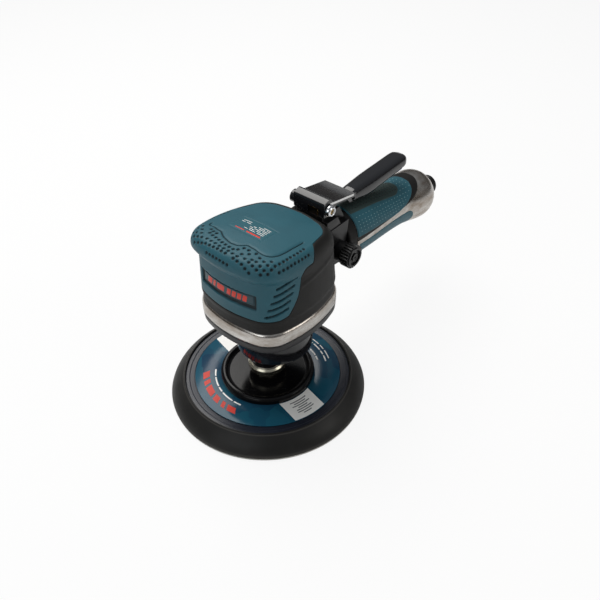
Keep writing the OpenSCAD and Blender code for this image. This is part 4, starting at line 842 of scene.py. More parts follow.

# %% [markdown]
# ## The petrol coloured shell
# The shell's details are small: a fine wavy groove, rows of round dimples in front of it,
# five slanted vents in each side and a sunken frame for the badge. They are all pressed
# into one surface. Each detail is a depth that depends on the distance to a point, to a
# line or to a frame, and the mesh is fine enough, under half a millimetre, to carry them.
# The rows are spaced by their length along the skin, so they are as fine on the crown as on
# the wall, and the columns lie closer on the front, where the dimples and vents are.
# The bottom of each detail is marked with painted shade, so that the material is drawn darker
# there, as if in shadow. The label's place is not marked, as the label covers it.

# %% Grid of the shell
STRETCH = np.array([42.0, 13.5, 34.0])


def travel(level):
    """Length in mm along the skin up to a level: wall, rounded edge and crown each count
    their own length."""
    level = np.asarray(level, float)[..., None]
    return (np.clip(level - np.arange(3), 0, 1) * STRETCH).sum(-1)


def level_at(length):
    """The level at a length along the skin: the inverse of travel."""
    return np.interp(length, np.concatenate([[0], np.cumsum(STRETCH)]), np.arange(4.0))


def spaced(weights, count):
    """count values from 0 to 1 whose density follows weights: the inverse of their sum."""
    total = np.concatenate([[0], np.cumsum(weights)])
    return np.interp(np.linspace(0, total[-1], count), total, np.linspace(0, 1, len(total)))


around = np.linspace(0, 1, 721)[:-1]
front_side = np.abs(around * 2 - 1) < 0.56
angle_cols = spaced(np.where(front_side, 3.6, 1.0), 521)[:-1] * 2 * np.pi
joint_cols = joint_level(angle_cols)
groove_cols = np.interp(angle_cols, groove_angle, groove_lv)
# The groove fades out over the last 0.03 radians at its ends, and stays above the joint.
reach_g = np.clip(np.minimum(angle_cols - groove_angle[0], groove_angle[-1] - angle_cols) / 0.03, 0, 1)
groove_cols = np.maximum(groove_cols, joint_cols + 0.08)
LOW_ROWS = 120
width_g = 0.02
start, stop = travel(joint_cols), travel(groove_cols - width_g)
levels_low = level_at(start + (stop - start) * np.linspace(0, 1, LOW_ROWS)[:, None])
levels_mid = groove_cols + width_g * np.array([-0.5, -0.2, 0.2, 0.5])[:, None]
inwards = np.linspace(0, 1, 22)[:, None] ** 0.85
levels_high = groove_cols + width_g + (3.0 - groove_cols - width_g) * inwards
shell_levels = np.concatenate([levels_low, levels_mid, levels_high])
outer = skin(angle_cols[None, :], shell_levels)
out_n = normals(outer)
depth = np.zeros(outer.shape[:2])
# dark is painted shade: how much darker each point of the shell is drawn, as shade in its recesses.
dark = np.zeros(outer.shape[:2])
groove_rows = slice(LOW_ROWS, LOW_ROWS + 4)
depth[groove_rows] += np.array([0.3, 0.7, 0.7, 0.3])[:, None] * reach_g
# Painted shade along the bottom of the groove.
dark[groove_rows] += np.array([0.5, 1.0, 1.0, 0.5])[:, None] * reach_g
print("shell grid", outer.shape[:2])

# %% [markdown]
# Dimples lie in rows that follow the lip. Two rows run along each side, and at the front
# corners they fan out into short rows. Each row is a few (degrees, level) points and a
# number of dimples, which are spread evenly along it. A dimple behind the groove or close to
# it is left out, and so is one that lies nearer than LEAST_GAP to another.

# %% Dimples
def row_of_dimples(points, count):
    """count places, evenly spaced along the skin, on the line through (degrees, level)."""
    at, level = np.array(points, float).T
    knots = np.concatenate([[0], np.cumsum(np.linalg.norm(
        np.diff(skin(np.radians(at), level), axis=0), axis=1))])
    u = np.linspace(0, knots[-1], count)
    return np.stack([np.radians(np.interp(u, knots, at)), np.interp(u, knots, level)], -1)


side_rows = [([(232, 1.64), (248, 1.82), (270.4, 1.92)], 9),
             ([(234.5, 1.31), (250, 1.44), (270.4, 1.49)], 9)]
corner_rows = [([(220, 1.29), (225.5, 1.32)], 2), ([(217, 1.48), (228.6, 1.5)], 3),
               ([(213.6, 1.63), (226, 1.74)], 3),
               ([(210, 1.77), (216, 1.93), (223, 2.0), (229.6, 1.96)], 4),
               ([(205.6, 1.92), (219, 2.08)], 3), ([(200.2, 2.05), (214.8, 2.17)], 3),
               ([(193, 2.12), (199, 2.22), (205, 2.2)], 3)]
front_rows = [([(148, 1.31), (160, 1.64), (174, 1.76), (190, 1.74), (204, 1.53), (211, 1.26)], 15),
              ([(142, 1.5), (150, 1.88), (165, 2.0), (187, 1.98), (197.5, 1.88)], 11),
              ([(166, 1.28), (179, 1.29), (190.6, 1.25)], 7)]
far_rows = [([(146, 2.1), (160, 2.11), (188, 2.08)], 8), ([(139, 2.15), (155, 2.21)], 4),
            ([(133.5, 1.99), (138, 2.03)], 2)]
mirrored = [([(360 - a, lv) for a, lv in points], count)
            for points, count in side_rows + corner_rows[:4]]
DIMPLE_RADIUS, DIMPLE_DEEP, LEAST_GAP = 1.2, 1.15, 2.6
all_rows = side_rows + corner_rows + front_rows + far_rows + mirrored
dots = np.concatenate([row_of_dimples(*row) for row in all_rows])
room = np.interp(dots[:, 0], groove_angle, groove_lv)
dots = dots[dots[:, 1] < room - 0.045]
centres = skin(dots[:, 0], dots[:, 1])
apart = np.linalg.norm(centres[:, None] - centres[None], axis=-1) + 99 * np.tri(len(centres))
centres = centres[apart.min(1) > LEAST_GAP]


def press_dots(points, centres, radius, deep):
    """Depth of round dimples: deep times (1 - d^2 / radius^2) to the power 0.8 within radius."""
    best = np.full(points.shape[:2], 99.0)
    for part in np.array_split(centres, 10):
        gap2 = ((points[:, :, None, :] - part[None, None]) ** 2).sum(-1).min(-1)
        best = np.minimum(best, gap2)
    inside = np.clip(1 - best / radius ** 2, 0, 1)
    return deep * inside ** 0.8, inside


near_rows = slice(0, LOW_ROWS)
hole_depth, hole_in = press_dots(outer[near_rows], centres, DIMPLE_RADIUS, DIMPLE_DEEP)
depth[near_rows] += hole_depth
# Painted shade in the dimples, over most of their width.
dark[near_rows] += np.clip(hole_in * 2.6, 0, 1)
print("dimples:", len(centres))

# %% [markdown]
# A vent is a slanted slot with round ends. Its depth follows the distance to a straight
# line in the side view, and it is full depth over most of its width. The sunken places for
# the badge and the top label are boxes with soft edges.

# %% Vents and badge frame
def slot_distance(x, z, a, b):
    """Distance in the side view from (x, z) to the stretch of line from a to b."""
    a, b = np.array(a, float), np.array(b, float)
    ux, uz = b - a
    t = np.clip(((x - a[0]) * ux + (z - a[1]) * uz) / (ux * ux + uz * uz), 0, 1)
    return np.hypot(x - a[0] - t * ux, z - a[1] - t * uz)


def soft_step(d, edge, blur):
    """1 inside the edge, 0 outside it, smooth over blur on both sides."""
    return smoothed(np.clip((edge - d) / (2 * blur) + 0.5, 0, 1))


VENT_HALF, VENT_DEEP = 0.8, 1.7
front_ends = [(-28.3, 128.6), (-30.1, 123.4), (-32.0, 117.9), (-33.6, 112.5), (-35.2, 107.0)]
back_ends = [(-14.4, 131.6), (-16.2, 126.0), (-18.0, 120.8), (-20.3, 115.6), (-22.1, 110.4)]
for f, b in zip(front_ends, back_ends):
    d = slot_distance(outer[..., 0], outer[..., 2], f, b)
    cut = soft_step(d, VENT_HALF, 0.15) * (np.abs(outer[..., 1]) > 15) * (shell_levels < 1.05)
    depth += VENT_DEEP * cut
    # Inside the vents the mark paints the dark of the slot: the black cover below it and the shade in
    # it.
    dark += cut

FRAME_HALF, FRAME_LOW, FRAME_HIGH, FRAME_DEEP = 24.8, 112.4, 123.7, 1.35
LABEL_MID, LABEL_HALF, LABEL_DEEP = (-9.0, 3.4), (8.2, 15.3), 0.25
bx, by, bz = outer[..., 0], outer[..., 1], outer[..., 2]
over_y, over_z = np.abs(by) - FRAME_HALF, np.maximum(FRAME_LOW - bz, bz - FRAME_HIGH)
frame_d = np.maximum(over_y, over_z)
sunk = soft_step(frame_d, 0.0, 0.15) * (bx < -20) * (shell_levels < 1)
depth += FRAME_DEEP * sunk
# Painted shadow in the sunken frame round the badge.
dark += sunk
label_d = np.maximum(np.abs(bx - LABEL_MID[0]) - LABEL_HALF[0],
                     np.abs(by - LABEL_MID[1]) - LABEL_HALF[1])
sunk_label = soft_step(label_d, 0.0, 0.3) * (shell_levels > 1.9)
depth += LABEL_DEEP * sunk_label
print("deepest", round(float(depth.max()), 2))

# %% [markdown]
# The shell is closed by carrying the same grid on: over its rounded edge at the joint, and
# back up its inside, a wall's thickness further in, to the middle of the crown. The two
# poles at the crown's middle are merged to single points.

# %% Close the shell
def rounding(distance, radius, drop):
    """How far an edge is let down at a distance from it: drop at the edge, along a quarter
    circle to nothing at radius."""
    return drop * (1 - np.sqrt(np.clip(1 - (1 - np.clip(distance / radius, 0, 1)) ** 2, 0, 1)))


def with_pole(n):
    """Normals whose last row, at the pole, is the mean of the row before it."""
    n = n.copy()
    mean = n[-2].mean(0)
    n[-1] = mean / np.linalg.norm(mean)
    return n


def marked(material, mark, colour, amount):
    """Mixes colour into the material's own colour, up to amount, by a vertex attribute."""
    n, l, p = parts_of(material)
    read = n.new("ShaderNodeAttribute")
    read.attribute_name = mark
    cap = n.new("ShaderNodeMapRange")
    cap.inputs["To Max"].default_value = amount
    l.new(read.outputs["Fac"], cap.inputs["Value"])
    under = p.inputs["Base Color"].links[0].from_socket
    l.new(mix_in(material, cap.outputs[0], colour, under), p.inputs["Base Color"])


out_n = with_pole(out_n)
to_joint = np.linalg.norm(outer - outer[:1], axis=-1)
lip_round = rounding(to_joint, 0.7, 0.45)
DEEPEST, SHELL_WALL = 1.9, 2.2
pressed = outer - out_n * (np.minimum(depth, DEEPEST) + lip_round)[..., None]
inner_rows = np.unique(np.concatenate([np.linspace(0, LOW_ROWS - 1, 14).astype(int),
                                       np.arange(LOW_ROWS + 4, len(outer) - 1, 5), [len(outer) - 1]]))
inner = (outer - out_n * SHELL_WALL)[inner_rows]
shell_grid = np.concatenate([inner[::-1], pressed])
shell_painted_shade = np.concatenate([np.zeros(inner.shape[:2]), np.clip(dark, 0, 1)])
# The "dark" mark mixes painted shade into the petrol rubber, up to 0.92 of a near-black.
marked(FINISH["teal_rubber"], "dark", (0.003, 0.007, 0.009), 0.92)
make_piece("petrol_shell", [(shell_grid, False, True)], "housing", "teal_rubber",
           replaces=["front_shell"], marks={"dark": shell_painted_shade}, sharp=70)

# %% [markdown]
# The black cover is a belt round the back and sides of the head. Its section is a closed
# loop: up the outside to the joint, in under the shell's edge, and down the inside. A soft
# raised line runs along each side, where the wall turns in under the crown. It is LINE_HIGH
# high and 5.2 mm wide, and it fades out towards the nose and the back.

# %% Black cover
COVER_WALL, TUCK_IN, LINE_HIGH = 4.2, 2.5, 0.4
cover_levels = level_at(travel(joint_cols) * np.linspace(0, 1, 60)[:, None])
cover_out = skin(angle_cols[None, :], cover_levels)
cover_n = normals(cover_out)
to_top = np.linalg.norm(cover_out - cover_out[-1:], axis=-1)
round_top = rounding(to_top, 0.8, 0.5)
line_z = 123.9 + 0.08 * cover_out[..., 0]
under_line = line_z - cover_out[..., 2]
raised = smoothed(np.clip(1 - np.abs(under_line - 0.6) / 2.6, 0, 1))
raised = raised * (np.abs(cover_out[..., 1]) > 28)
raised = raised * np.clip((cover_out[..., 0] + 13) / 5, 0, 1)
raised = raised * np.clip((32 - cover_out[..., 0]) / 10, 0, 1)
cover_face = cover_out - cover_n * (round_top - LINE_HIGH * raised)[..., None]
under = skin(angle_cols, joint_cols + 0.05)[None] - cover_n[-1:] * TUCK_IN
inside = skin(angle_cols[None, :], joint_cols * np.linspace(1, 0, 10)[:, None])
inside = inside - normals(inside) * COVER_WALL
make_piece("black_cover", [(np.concatenate([cover_face, under, inside]), True, True)], "housing",
           "black_rubber", replaces=["head_cover"], sharp=60)

# %% [markdown]
# ## Badge and top label
# The nose carries a small plate in a sunken frame, and the crown a thin label. On this
# sander both are plain: the plate has a row of slanted red bars, and the label has a red
# line in two parts and rows of short pale bars. Each is a patch laid on the head's skin. To
# lay it, the patch's own straight grid is looked up on the skin, and the points are moved
# off it along the normal.

# %% Patches that follow the skin
def on_nose(y, z):
    """Direction and level of the nose's point at the given y and z: y is looked up along a
    level, and the level is then corrected for the height, three times over."""
    level = np.full(np.shape(y), 0.6)
    table = np.radians(np.linspace(120, 240, 241))
    for _ in range(3):
        line = skin(table, np.full(241, float(np.mean(level))))[:, 1]
        angle = np.interp(-y, -line, table)
        level = level_of(z, angle)
    return angle, level


def laid(place, u0, u1, v0, v1, sink, thick, nu, nv, lean=0.0):
    """A closed thin patch from u0 to u1 and v0 to v1. place turns (u, v) into a direction and
    level. It starts sink under the skin and is thick high. lean shifts its top edge."""
    u, v = np.meshgrid(np.linspace(u0, u1, nu), np.linspace(v0, v1, nv))
    u = u + lean * (v - v0) / (v1 - v0)
    angle, level = place(u, v)
    base = skin(angle, level)
    step = 0.002
    du = skin(angle + step, level) - skin(angle - step, level)
    dv = skin(angle, level + step) - skin(angle, level - step)
    n = np.cross(du, dv)
    n /= np.linalg.norm(n, axis=-1)[..., None]
    n *= np.sign((n * (base - np.array([0, 0, 110.0]))).sum(-1))[..., None]
    low, high = base - n * sink, base - n * (sink - thick)
    rim = np.zeros(base.shape[:2])
    rim[0] = rim[-1] = 1
    rim[:, 0] = rim[:, -1] = 1
    high = high - n * (thick * 0.999 * rim)[..., None]
    return [(low, False, False), (high, False, False)]


INK_LIFT, INK_THICK = 0.02, 0.09
plate_patch = laid(on_nose, -23.4, 21.8, 114.9, 123.0, 1.3, 0.75, 60, 10)
make_piece("nose_plate", plate_patch, "housing", "badge_plastic", replaces=["badge_plate"])
plate_ink = []
for start, wide in ((-17.5, 3.2), (-13.2, 3.2), (-8.9, 3.2), (-4.6, 3.2), (1.2, 6.8), (9.6, 2.2),
                    (13.2, 4.6)):
    plate_ink += laid(on_nose, start, start + wide, 116.4, 121.3, 0.55, 0.12, 8, 5, lean=-1.2)
make_piece("nose_bars", plate_ink, "housing", "badge_plastic", material=ink_red)

label_patch = laid(crown_level, -16.9, -1.1, -11.6, 18.4, 0.26, 0.3, 20, 36)
make_piece("top_label", label_patch, "housing", "badge_plastic", replaces=["data_plate"],
           material=finish("label_film", (0.022, 0.1, 0.13), 0.5, mottle=0.04, spec=0.25))
red_line = laid(crown_level, -15.8, -14.2, -9.0, 3.5, -INK_LIFT, INK_THICK, 5, 14) \
    + laid(crown_level, -15.5, -14.5, 5.0, 13.5, -INK_LIFT, INK_THICK, 5, 10)
make_piece("top_red_line", red_line, "housing", "badge_plastic", material=ink_red)
pale_rows = []
for x, spans in ((-12.6, ((-9, -3), (-2, 4), (5, 8))), (-11.0, ((-9, -1), (0, 5))),
                 (-9.4, ((-9, -5), (-4, 2), (3, 6))), (-7.8, ((-9, 0), (1, 4))),
                 (-6.2, ((-9, -6), (-5, 1))), (-4.6, ((-9, -2), (8, 16))),
                 (-6.6, ((7, 11.5), (12.5, 16)))):
    for y0, y1 in spans:
        pale_rows += laid(crown_level, x, x + 0.62, y0, y1, -INK_LIFT, INK_THICK, 3, 8)
make_piece("top_pale_bars", pale_rows, "housing", "badge_plastic", material=ink_white)

# %% [markdown]
# ## Valve block, hood and lever
# Behind the head sits the valve: a black block, a head that carries the lever's pin, and a
# ribbed knob that sets the speed. Their solids have the right shapes but razor edges, and a
# real casting or moulding never has those. A copy of each solid is merged, so that its loose
# triangles become one skin, and a bevel then rounds every edge by a fraction of a millimetre.

# %% Solids with softened edges
def soften(name, node, body, slot_name, width):
    """A copy of a solid whose edges over 30 degrees are rounded by width mm. It stands for the
    solid."""
    mesh = frame["nodes"][node].data.copy()
    mesh.name = name
    mesh.materials.clear()
    bm = bmesh.new()
    bm.from_mesh(mesh)
    bmesh.ops.remove_doubles(bm, verts=bm.verts, dist=0.004 * MM)
    bmesh.ops.dissolve_limit(bm, angle_limit=math.radians(0.6), verts=bm.verts, edges=bm.edges)
    bm.to_mesh(mesh)
    bm.free()
    obj = place_mesh(name, mesh, FINISH[slot_name], body)
    mesh.set_sharp_from_angle(angle=math.radians(40))
    edge = obj.modifiers.new("round_edges", "BEVEL")
    edge.width = width * MM
    edge.segments = 2
    edge.limit_method = "ANGLE"
    edge.angle_limit = math.radians(30)
    edge.harden_normals = True
    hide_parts(node)
    print(f"{name}: {len(mesh.polygons)} faces under the bevel")


def body_of(node):
    """The body that carries a solid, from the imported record."""
    groups = frame["record"]["behaviour"]["bodies"]
    return next(body for body, members in groups.items() if node in members)


for name, node, slot_name, width in (("block_casting", "valve_block", "black_nylon", 0.7),
                                     ("head_casting", "valve_head", "black_nylon", 0.4),
                                     ("hood_shell", "lever_hood", "lever_gloss", 0.35),
                                     ("speed_knob", "regulator_knob", "black_nylon", 0.16),
                                     ("hinge_cap", "pin_cap", "cap_chrome", 0.25),
                                     ("tip_bumper", "lever_bumper", "bumper_blue", 0.8)):
    soften(name, node, body_of(node), slot_name, width)

# %% [markdown]
# The hood is folded from a plate and painted a glossy black. The paint has rubbed off its
# near edge down to bright steel. That edge is a thin strip laid against the cheek.

# %% Worn edge of the hood
def strip(name, line_high, line_low, y0, y1, body, slot_name, steps=24):
    """A closed strip between two lines in side view, each a pair of (x, z) ends, from y0 to y1."""
    t = np.linspace(0, 1, steps)[:, None]
    high, low = (np.array(a) + (np.array(b) - np.array(a)) * t for a, b in (line_high, line_low))
    ring = [np.stack([line[:, 0], np.full(steps, y), line[:, 1]], -1)
            for line, y in ((high, y0), (high, y1), (low, y1), (low, y0))]
    make_piece(name, [(capped(np.stack(ring, 1)), False, True)], body, slot_name, sharp=30)


strip("worn_edge", ((49.8, 145.0), (77.0, 140.1)), ((49.6, 143.3), (77.0, 138.4)), -13.88, -13.2,
      body_of("lever_hood"), "bright_steel")

# %% [markdown]
# The lever is a glossy moulding, arched along its top and hollow underneath. It is narrow
# where it leaves the hood and widens to a round tip. Its section is a rounded box, a
# superellipse, whose top, bottom and width change along the lever, and its middle is pushed
# up from below to make the hollow.

# %% Lever moulding
LEVER_X, LEVER_TIP, LEVER_Z = 86.0, 158.75, 127.45
LEVER_RISE = math.tan(math.radians(1.9))
HOLLOW_WALL, HOLLOW_TOP = 1.9, 2.6
NECK_HALF, WIDEN_BY, BOXY = 6.7, 1.25, 3.1


def lever_surface(rows=130, cols=72):
    """Section at t along the lever: y is the half width times cos, and the height runs between
    bottom(t) and top(t) as sin, both raised to the power 2 / BOXY. The underside is lifted to
    HOLLOW_TOP below the axis where it is more than HOLLOW_WALL in from the side."""
    t = (1 - np.cos(np.linspace(0, np.pi, rows)))[:, None] / 2
    top = np.interp(t, [0, 0.02, 0.07, 0.3, 0.86, 0.92, 0.97, 0.995, 1.0],
                    [3.1, 5.0, 5.9, 6.25, 6.25, 5.8, 4.4, 2.5, 0.4])
    low = np.interp(t, [0, 0.06, 0.165, 0.25, 0.78, 0.95, 0.985, 1.0],
                    [-2.0, -2.6, -5.7, -7.1, -5.3, -3.6, -1.6, 0.35])
    half = NECK_HALF + WIDEN_BY * smoothed(np.clip(t / 0.42, 0, 1))
    half = half * np.maximum(1 - np.clip((t - 0.89) / 0.11, 0, 1) ** 2.2, 0) ** (1 / 2.2)
    half = np.maximum(half * np.clip((t + 0.012) / 0.03, 0, 1) ** 0.5, 0.02)
    a = np.linspace(0, 2 * np.pi, cols, endpoint=False)[None, :]
    power = 2 / BOXY
    y = half * np.sign(np.cos(a)) * np.abs(np.cos(a)) ** power
    lift = np.sign(np.sin(a)) * np.abs(np.sin(a)) ** power
    z = np.where(lift > 0, top * lift, -low * lift)
    inward = np.clip((half - HOLLOW_WALL - np.abs(y)) / 0.5, 0, 1) * (lift < -0.3)
    inward = inward * np.clip((t - 0.1) / 0.03, 0, 1) * np.clip((0.95 - t) / 0.03, 0, 1)
    z = np.where((inward > 0) & (z < -HOLLOW_TOP), z + (-HOLLOW_TOP - z) * inward, z)
    x = LEVER_X + (LEVER_TIP - LEVER_X) * t + 0 * a
    return np.stack([x, y, LEVER_Z + LEVER_RISE * (x - LEVER_X) + z], -1)


make_piece("lever_moulding", [(capped(lever_surface()), False, True)],
           body_of("lever_sleeve"), "lever_gloss", replaces=["lever_sleeve"], sharp=60)

# %% [markdown]
# ## The handle
# The handle is a turned and polished casting. It narrows behind the collar, swells into a
# bulb and rounds off to the air inlet. Its axis falls by 7.9 degrees towards the inlet.
# Positions on it are a distance along the axis, a height above its skin, and an angle from
# the top. All the coverings use the same three numbers, so they follow its shape exactly.

# %% The handle's own coordinates
SLOPE = math.radians(7.9)
ALONG = np.array([math.cos(SLOPE), 0.0, -math.sin(SLOPE)])
ABOVE = np.array([math.sin(SLOPE), 0.0, math.cos(SLOPE)])
SIDE = np.array([0.0, -1.0, 0.0])
AXIS_START = np.array([0.0, 0.0, 111.6])
COLLAR_S, WAIST_S, BULB_S, END_LONG = 75, 147.9, 177.5, 13.2
COLLAR_R, WAIST_R, BULB_R, REAR_R = 21.2, 18.1, 21.0, 13.5


def handle_radius(s):
    """The skin's radius at distance s: half a cosine wave from COLLAR_R to the waist, half a
    wave up to the bulb, then a quarter ellipse down to REAR_R at the rear face."""
    def wave(a, b, u):
        return a + (b - a) * (1 - np.cos(np.pi * np.clip(u, 0, 1))) / 2

    s = np.asarray(s, float)
    waist = wave(COLLAR_R, WAIST_R, (s - COLLAR_S) / (WAIST_S - COLLAR_S))
    bulb = wave(WAIST_R, BULB_R, (s - WAIST_S) / (BULB_S - WAIST_S))
    round_off = np.sqrt(np.clip(1 - ((s - BULB_S) / END_LONG) ** 2, 0, 1))
    end = REAR_R + (BULB_R - REAR_R) * round_off
    return np.where(s < WAIST_S, waist, np.where(s < BULB_S, bulb, end))


def about_axis(s, r, angle):
    """Point at distance s along the axis, r away from it, at angle (radians) from the top."""
    return AXIS_START + s[..., None] * ALONG + (r * np.cos(angle))[..., None] * ABOVE \
        + (r * np.sin(angle))[..., None] * SIDE


def on_handle(s, high, angle):
    """Point at distance s, high above the skin, at angle (radians) from the top."""
    return about_axis(s, handle_radius(s) + high, angle)


def turned_on_axis(profile, steps):
    """A profile of (distance along the handle, radius) turned about the handle's axis."""
    a = np.linspace(0, 2 * np.pi, steps, endpoint=False)[:, None]
    return about_axis(profile[:, 0][None, :] + 0 * a, profile[:, 1][None, :] + 0 * a, a)


s_end = BULB_S + 13.0 * np.sin(np.linspace(0.05, np.pi / 2, 26))
s_core = np.concatenate([np.linspace(75.2, BULB_S, 90), s_end])
core = np.concatenate([np.stack([s_core, handle_radius(s_core)], -1),
                       fillet([(190.7, 13.3), (190.7, 8.0), (189.5, 8.0)], [0.3, 0.2, 0], 4)[4:],
                       [(100.0, 8.0), (100.0, 13.0), (75.2, 13.0)]])
make_piece("handle_casting", [(turned_on_axis(core, 160), True, True)], "housing", "cast_aluminium",
           replaces=["handle_core"], sharp=35)

collar = fillet([(65.45, 17.1), (65.45, 21.1), (74.4, 21.3), (74.85, 21.0), (74.85, 17.1)],
                [0.1, 3.3, 0.3, 0.2, 0.1], 9)
make_piece("grip_collar", [(turned_on_axis(collar, 128), True, True)], "housing", "black_rubber",
           replaces=["front_collar"], sharp=50)

# %% [markdown]
# The grip is a set of moulded coverings: a black sleeve over the top and sides, a petrol
# panel with rounded edges on it, a grey-green patch where the palm rests and a petrol
# strip low on each side. Each is a patch of the handle's skin whose two edges are curves
# of angle against distance. Its height falls off over a rounded edge, by the distance to
# the nearest edge.

# %% Coverings
def covering(name, s_range, half_angle, low, high, edge, slot_name, replaces, ns, na, centre=0.0,
             press=None, marks=None):
    """A closed patch on the handle. half_angle(s) gives half its width in radians, about the
    angle centre. The outer height is low + (high - low) times the root of 1 - (1 - d/edge)^2,
    where d is the distance to the nearest edge. press(s, angle) is added to it inside the
    rounded edge, and marks is a dict of name to a function of (s, angle)."""
    s = np.linspace(s_range[0], s_range[1], ns)[:, None] + np.zeros((1, na))
    v = np.linspace(-1, 1, na)[None, :]
    half = half_angle(s)
    angle = centre + half * v
    d_side = (1 - np.abs(v)) * half * handle_radius(s)
    d_end = np.minimum(s - s_range[0], s_range[1] - s)
    d = np.clip(np.minimum(d_side, d_end) / edge, 0, 1)
    rise = (high - low) * np.sqrt(1 - (1 - d) ** 2)
    extra = press(s, angle) * (d >= 1) if press is not None else 0
    top = on_handle(s, low + rise + extra, angle)
    under = on_handle(s, low + 0 * rise, angle)
    given = {key: np.concatenate([(make(s, angle) * (d > 0.5)).ravel(), np.zeros(s.size)])
             for key, make in (marks or {}).items()}
    make_piece(name, [(top, False, False), (under, False, False)], "housing", slot_name,
               replaces=replaces, marks=given, sharp=70)


def along(points, values):
    """A smooth curve of an angle in degrees against distance, given by a few values: straight
    stretches whose corners are rounded by averaging over 8 mm."""
    fine = np.linspace(points[0] - 20, points[-1] + 20, 900)
    soft = averaged(np.interp(fine, points, values), int(8 / (fine[1] - fine[0])))
    return lambda s: np.radians(np.interp(s, fine, soft))


def round_end(body, s_end, length, power):
    """Narrows a covering to a round end: body times (1 - t^p)^(1/p), where t runs over the last
    length millimetres."""
    def half(s):
        t = np.clip((s - s_end + length) / length, 0, 1)
        return body(s) * np.maximum(1 - t ** power, 0) ** (1 / power)
    return half


sleeve_half = round_end(along([75, 100, 127, 152, 171], [88, 84, 79.5, 68, 60]), 170.6, 26, 2.3)
covering("black_sleeve", (75.1, 170.6), sleeve_half, -1.2, 0.32, 0.7, "black_rubber",
         replaces=["grip_sleeve"], ns=200, na=90)
PANEL_S = 75.4
panel_half = round_end(along([75, 118, 161], [78, 78, 78]), 161.2, 43, 2.5)


def rim(s, angle):
    """The panel has a raised lip, 0.16 mm high and 0.9 mm in from its edge."""
    d = (panel_half(s) - np.abs(angle)) * handle_radius(s)
    d = np.minimum(d, s - PANEL_S)
    return 0.16 * np.clip(1 - np.abs(d - 0.9) / 0.5, 0, 1)


# The petrol rubber takes painted shade where "dark" is marked. Nothing is marked on the grip.
unmarked = {"dark": lambda s, angle: 0 * s}
covering("petrol_panel", (PANEL_S, 161.2), panel_half, 0.0, 0.75, 0.6, "teal_rubber",
         replaces=["grip_panel"], ns=240, na=150, press=rim, marks=unmarked)
patch_half = round_end(along([76, 110, 147], [29, 30, 36]), 147.2, 14, 2.1)
covering("palm_patch", (76.2, 147.2), patch_half, 0.5, 1.05, 0.5, "patch_green",
         replaces=["grip_patch"], ns=120, na=60)
strip_mid = math.radians(122)
strip_half = round_end(along([84, 128, 156], [27, 33, 35]), 158, 10, 2.2)
for side, tag in ((1, "near"), (-1, "far")):
    covering("lower_strip_" + tag, (78.5, 158), strip_half, -0.3, 0.35, 0.7, "teal_rubber",
             replaces=["side_strips"], centre=side * strip_mid, ns=120, na=40, marks=unmarked)

# %% [markdown]
# The grip's surface has rows of short raised dashes: pale worn ones on the panel and black
# ones on the patch. Hundreds of them would make a heavy mesh if each were finely made, so
# one dash is a small dome of a few faces, copied by adding its points to all the places at
# once.

# %% Dashes
def dashes(name, places, length, width, high, base, material):
    """Small domes on the handle. places is rows of (s, angle in degrees). A dash is an ellipse
    of eight points drawn three times: just under the skin, at three quarters of its height a
    little smaller, and at its top as a point. A last point closes its foot."""
    places = np.asarray(places, float)
    t = np.linspace(0, 2 * np.pi, 8, endpoint=False)
    loops = [(1.0, -0.1), (0.8, 0.75), (0.0, 1.0)]
    s_off = np.concatenate([k * np.cos(t) * length / 2 for k, _ in loops] + [[0.0]])
    a_off = np.concatenate([k * np.sin(t) * width / 2 for k, _ in loops] + [[0.0]])
    h_off = np.concatenate([np.full(8, h * high) for _, h in loops] + [[-0.1 * high]])
    s = places[:, 0][:, None] + s_off
    angle = np.radians(places[:, 1])[:, None] + a_off / handle_radius(s)
    pts = on_handle(s, base + h_off + 0 * s, angle)
    ring = np.arange(8)
    after = (ring + 1) % 8
    one = np.concatenate([np.stack([ring, after, after + 8, ring + 8], -1),
                          np.stack([ring + 8, after + 8, after + 16, ring + 16], -1)])
    count, each = len(places), len(s_off)
    foot = np.stack([after, ring, np.full(8, each - 1)], -1)
    shift = (np.arange(count) * each)[:, None, None]
    quads = (one[None] + shift).reshape(-1, 4)
    tris = (foot[None] + shift).reshape(-1, 3)
    mesh = bpy.data.meshes.new(name)
    mesh.from_pydata((pts.reshape(-1, 3) * MM).tolist(), [], quads.tolist() + tris.tolist())
    bm = bmesh.new()
    bm.from_mesh(mesh)
    bmesh.ops.remove_doubles(bm, verts=bm.verts, dist=WELD * MM)
    bmesh.ops.recalc_face_normals(bm, faces=bm.faces)
    bm.to_mesh(mesh)
    bm.free()
    place_mesh(name, mesh, material, "housing")
    print(f"{name}: {count} dashes, {len(mesh.polygons)} faces")


def rows(angles, s0, s1, step, half, margin):
    """Places in rows along the handle, each second row half a step on, kept inside half(s)."""
    out = []
    for k, a in enumerate(angles):
        s = np.arange(s0 + (k % 2) * step / 2, s1, step)
        inside = np.abs(math.radians(a)) < half(s) - margin / handle_radius(s)
        out.append(np.stack([s[inside], np.full(int(inside.sum()), a)], -1))
    return np.concatenate(out)


def off_patch(places):
    """Leaves out the places that the patch covers."""
    return places[np.abs(np.radians(places[:, 1])) > patch_half(places[:, 0]) + 1.6 / 20]


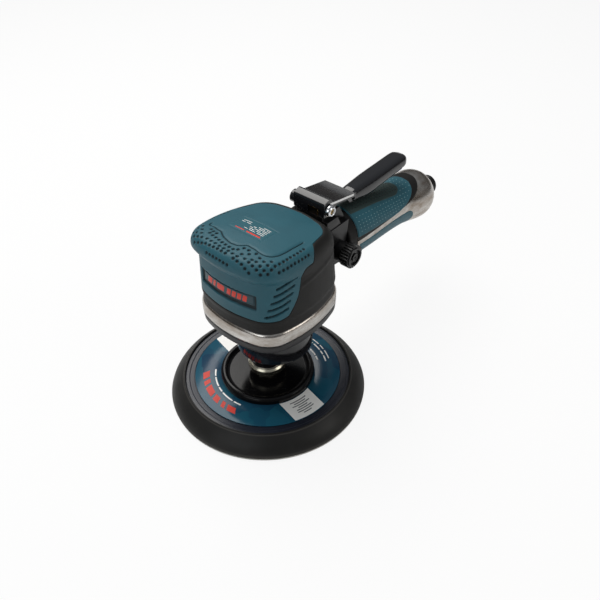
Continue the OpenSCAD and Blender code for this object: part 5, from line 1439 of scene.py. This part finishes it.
worn_petrol = finish("worn_petrol", (0.16, 0.3, 0.33), 0.5)
angles = [a * side for a in (6, 17, 28, 39, 48.5, 55, 61.5, 68.5) for side in (1, -1)]
dashes("panel_dashes", off_patch(rows(angles, 80, 158, 4.1, panel_half, 2.2)), 1.7, 0.5, 0.22, 0.72,
       worn_petrol)
angles = [a * side for a in (4, 12, 20) for side in (1, -1)]
dashes("patch_dashes", rows(angles, 79, 145, 3.7, patch_half, 1.8), 1.9, 0.85, 0.25, 1.02,
       FINISH["black_nylon"])

# %% [markdown]
# The air inlet is a black bushing with a shallow groove behind its mouth. The thread in its
# bore is a ridge of four corners, wound along a spiral. The screen inside keeps its solid.

# %% Inlet
inlet = fillet([(191.2, 6.9), (191.2, 8.5), (191.8, 8.7), (203.6, 8.7), (204.0, 8.35), (204.8, 8.35),
                (205.2, 8.7), (207.2, 8.7), (208.2, 7.7), (208.2, 5.75), (194.2, 5.75), (194.2, 4.97),
                (193.2, 4.97), (193.2, 4.2), (172.9, 4.2), (172.9, 6.9)],
               [0, 0.2, 0.3, 0.2, 0.1, 0.1, 0.2, 0.5, 0.4, 0.3, 0, 0, 0, 0, 0, 0], 4)
make_piece("inlet_bush", [(turned_on_axis(inlet, 96), True, True)], "housing", "screw_black",
           replaces=["inlet_bushing"], sharp=40)
THREAD_START, THREAD_PITCH, BORE, TURNS, PER_TURN = 195.8, 1.27, 5.75, 9, 32
spiral = np.linspace(0, 2 * np.pi * TURNS, TURNS * PER_TURN)
climb = THREAD_START + THREAD_PITCH * spiral / (2 * np.pi)
ridge = np.stack([about_axis(climb + ds, BORE + dr, spiral)
                  for ds, dr in ((-0.45, 0.05), (0.0, -0.6), (0.45, 0.05), (0.0, 0.12))], 1)
make_piece("inlet_thread", [(capped(ridge), False, True)], "housing", "screw_black", sharp=40)

# %% [markdown]
# ## The solids that stay
# Springs, bearings, seals, screws and the other working parts inside keep their solids. Each
# takes the finish that the record gives for it, so that they look right where the openings
# show them.

# %% Finishes for the solids that stay
for part in frame["record"]["subparts"]:
    for place in frame["nodes"][part["node"]].material_slots:
        place.material = FINISH[part["material_slot"]]
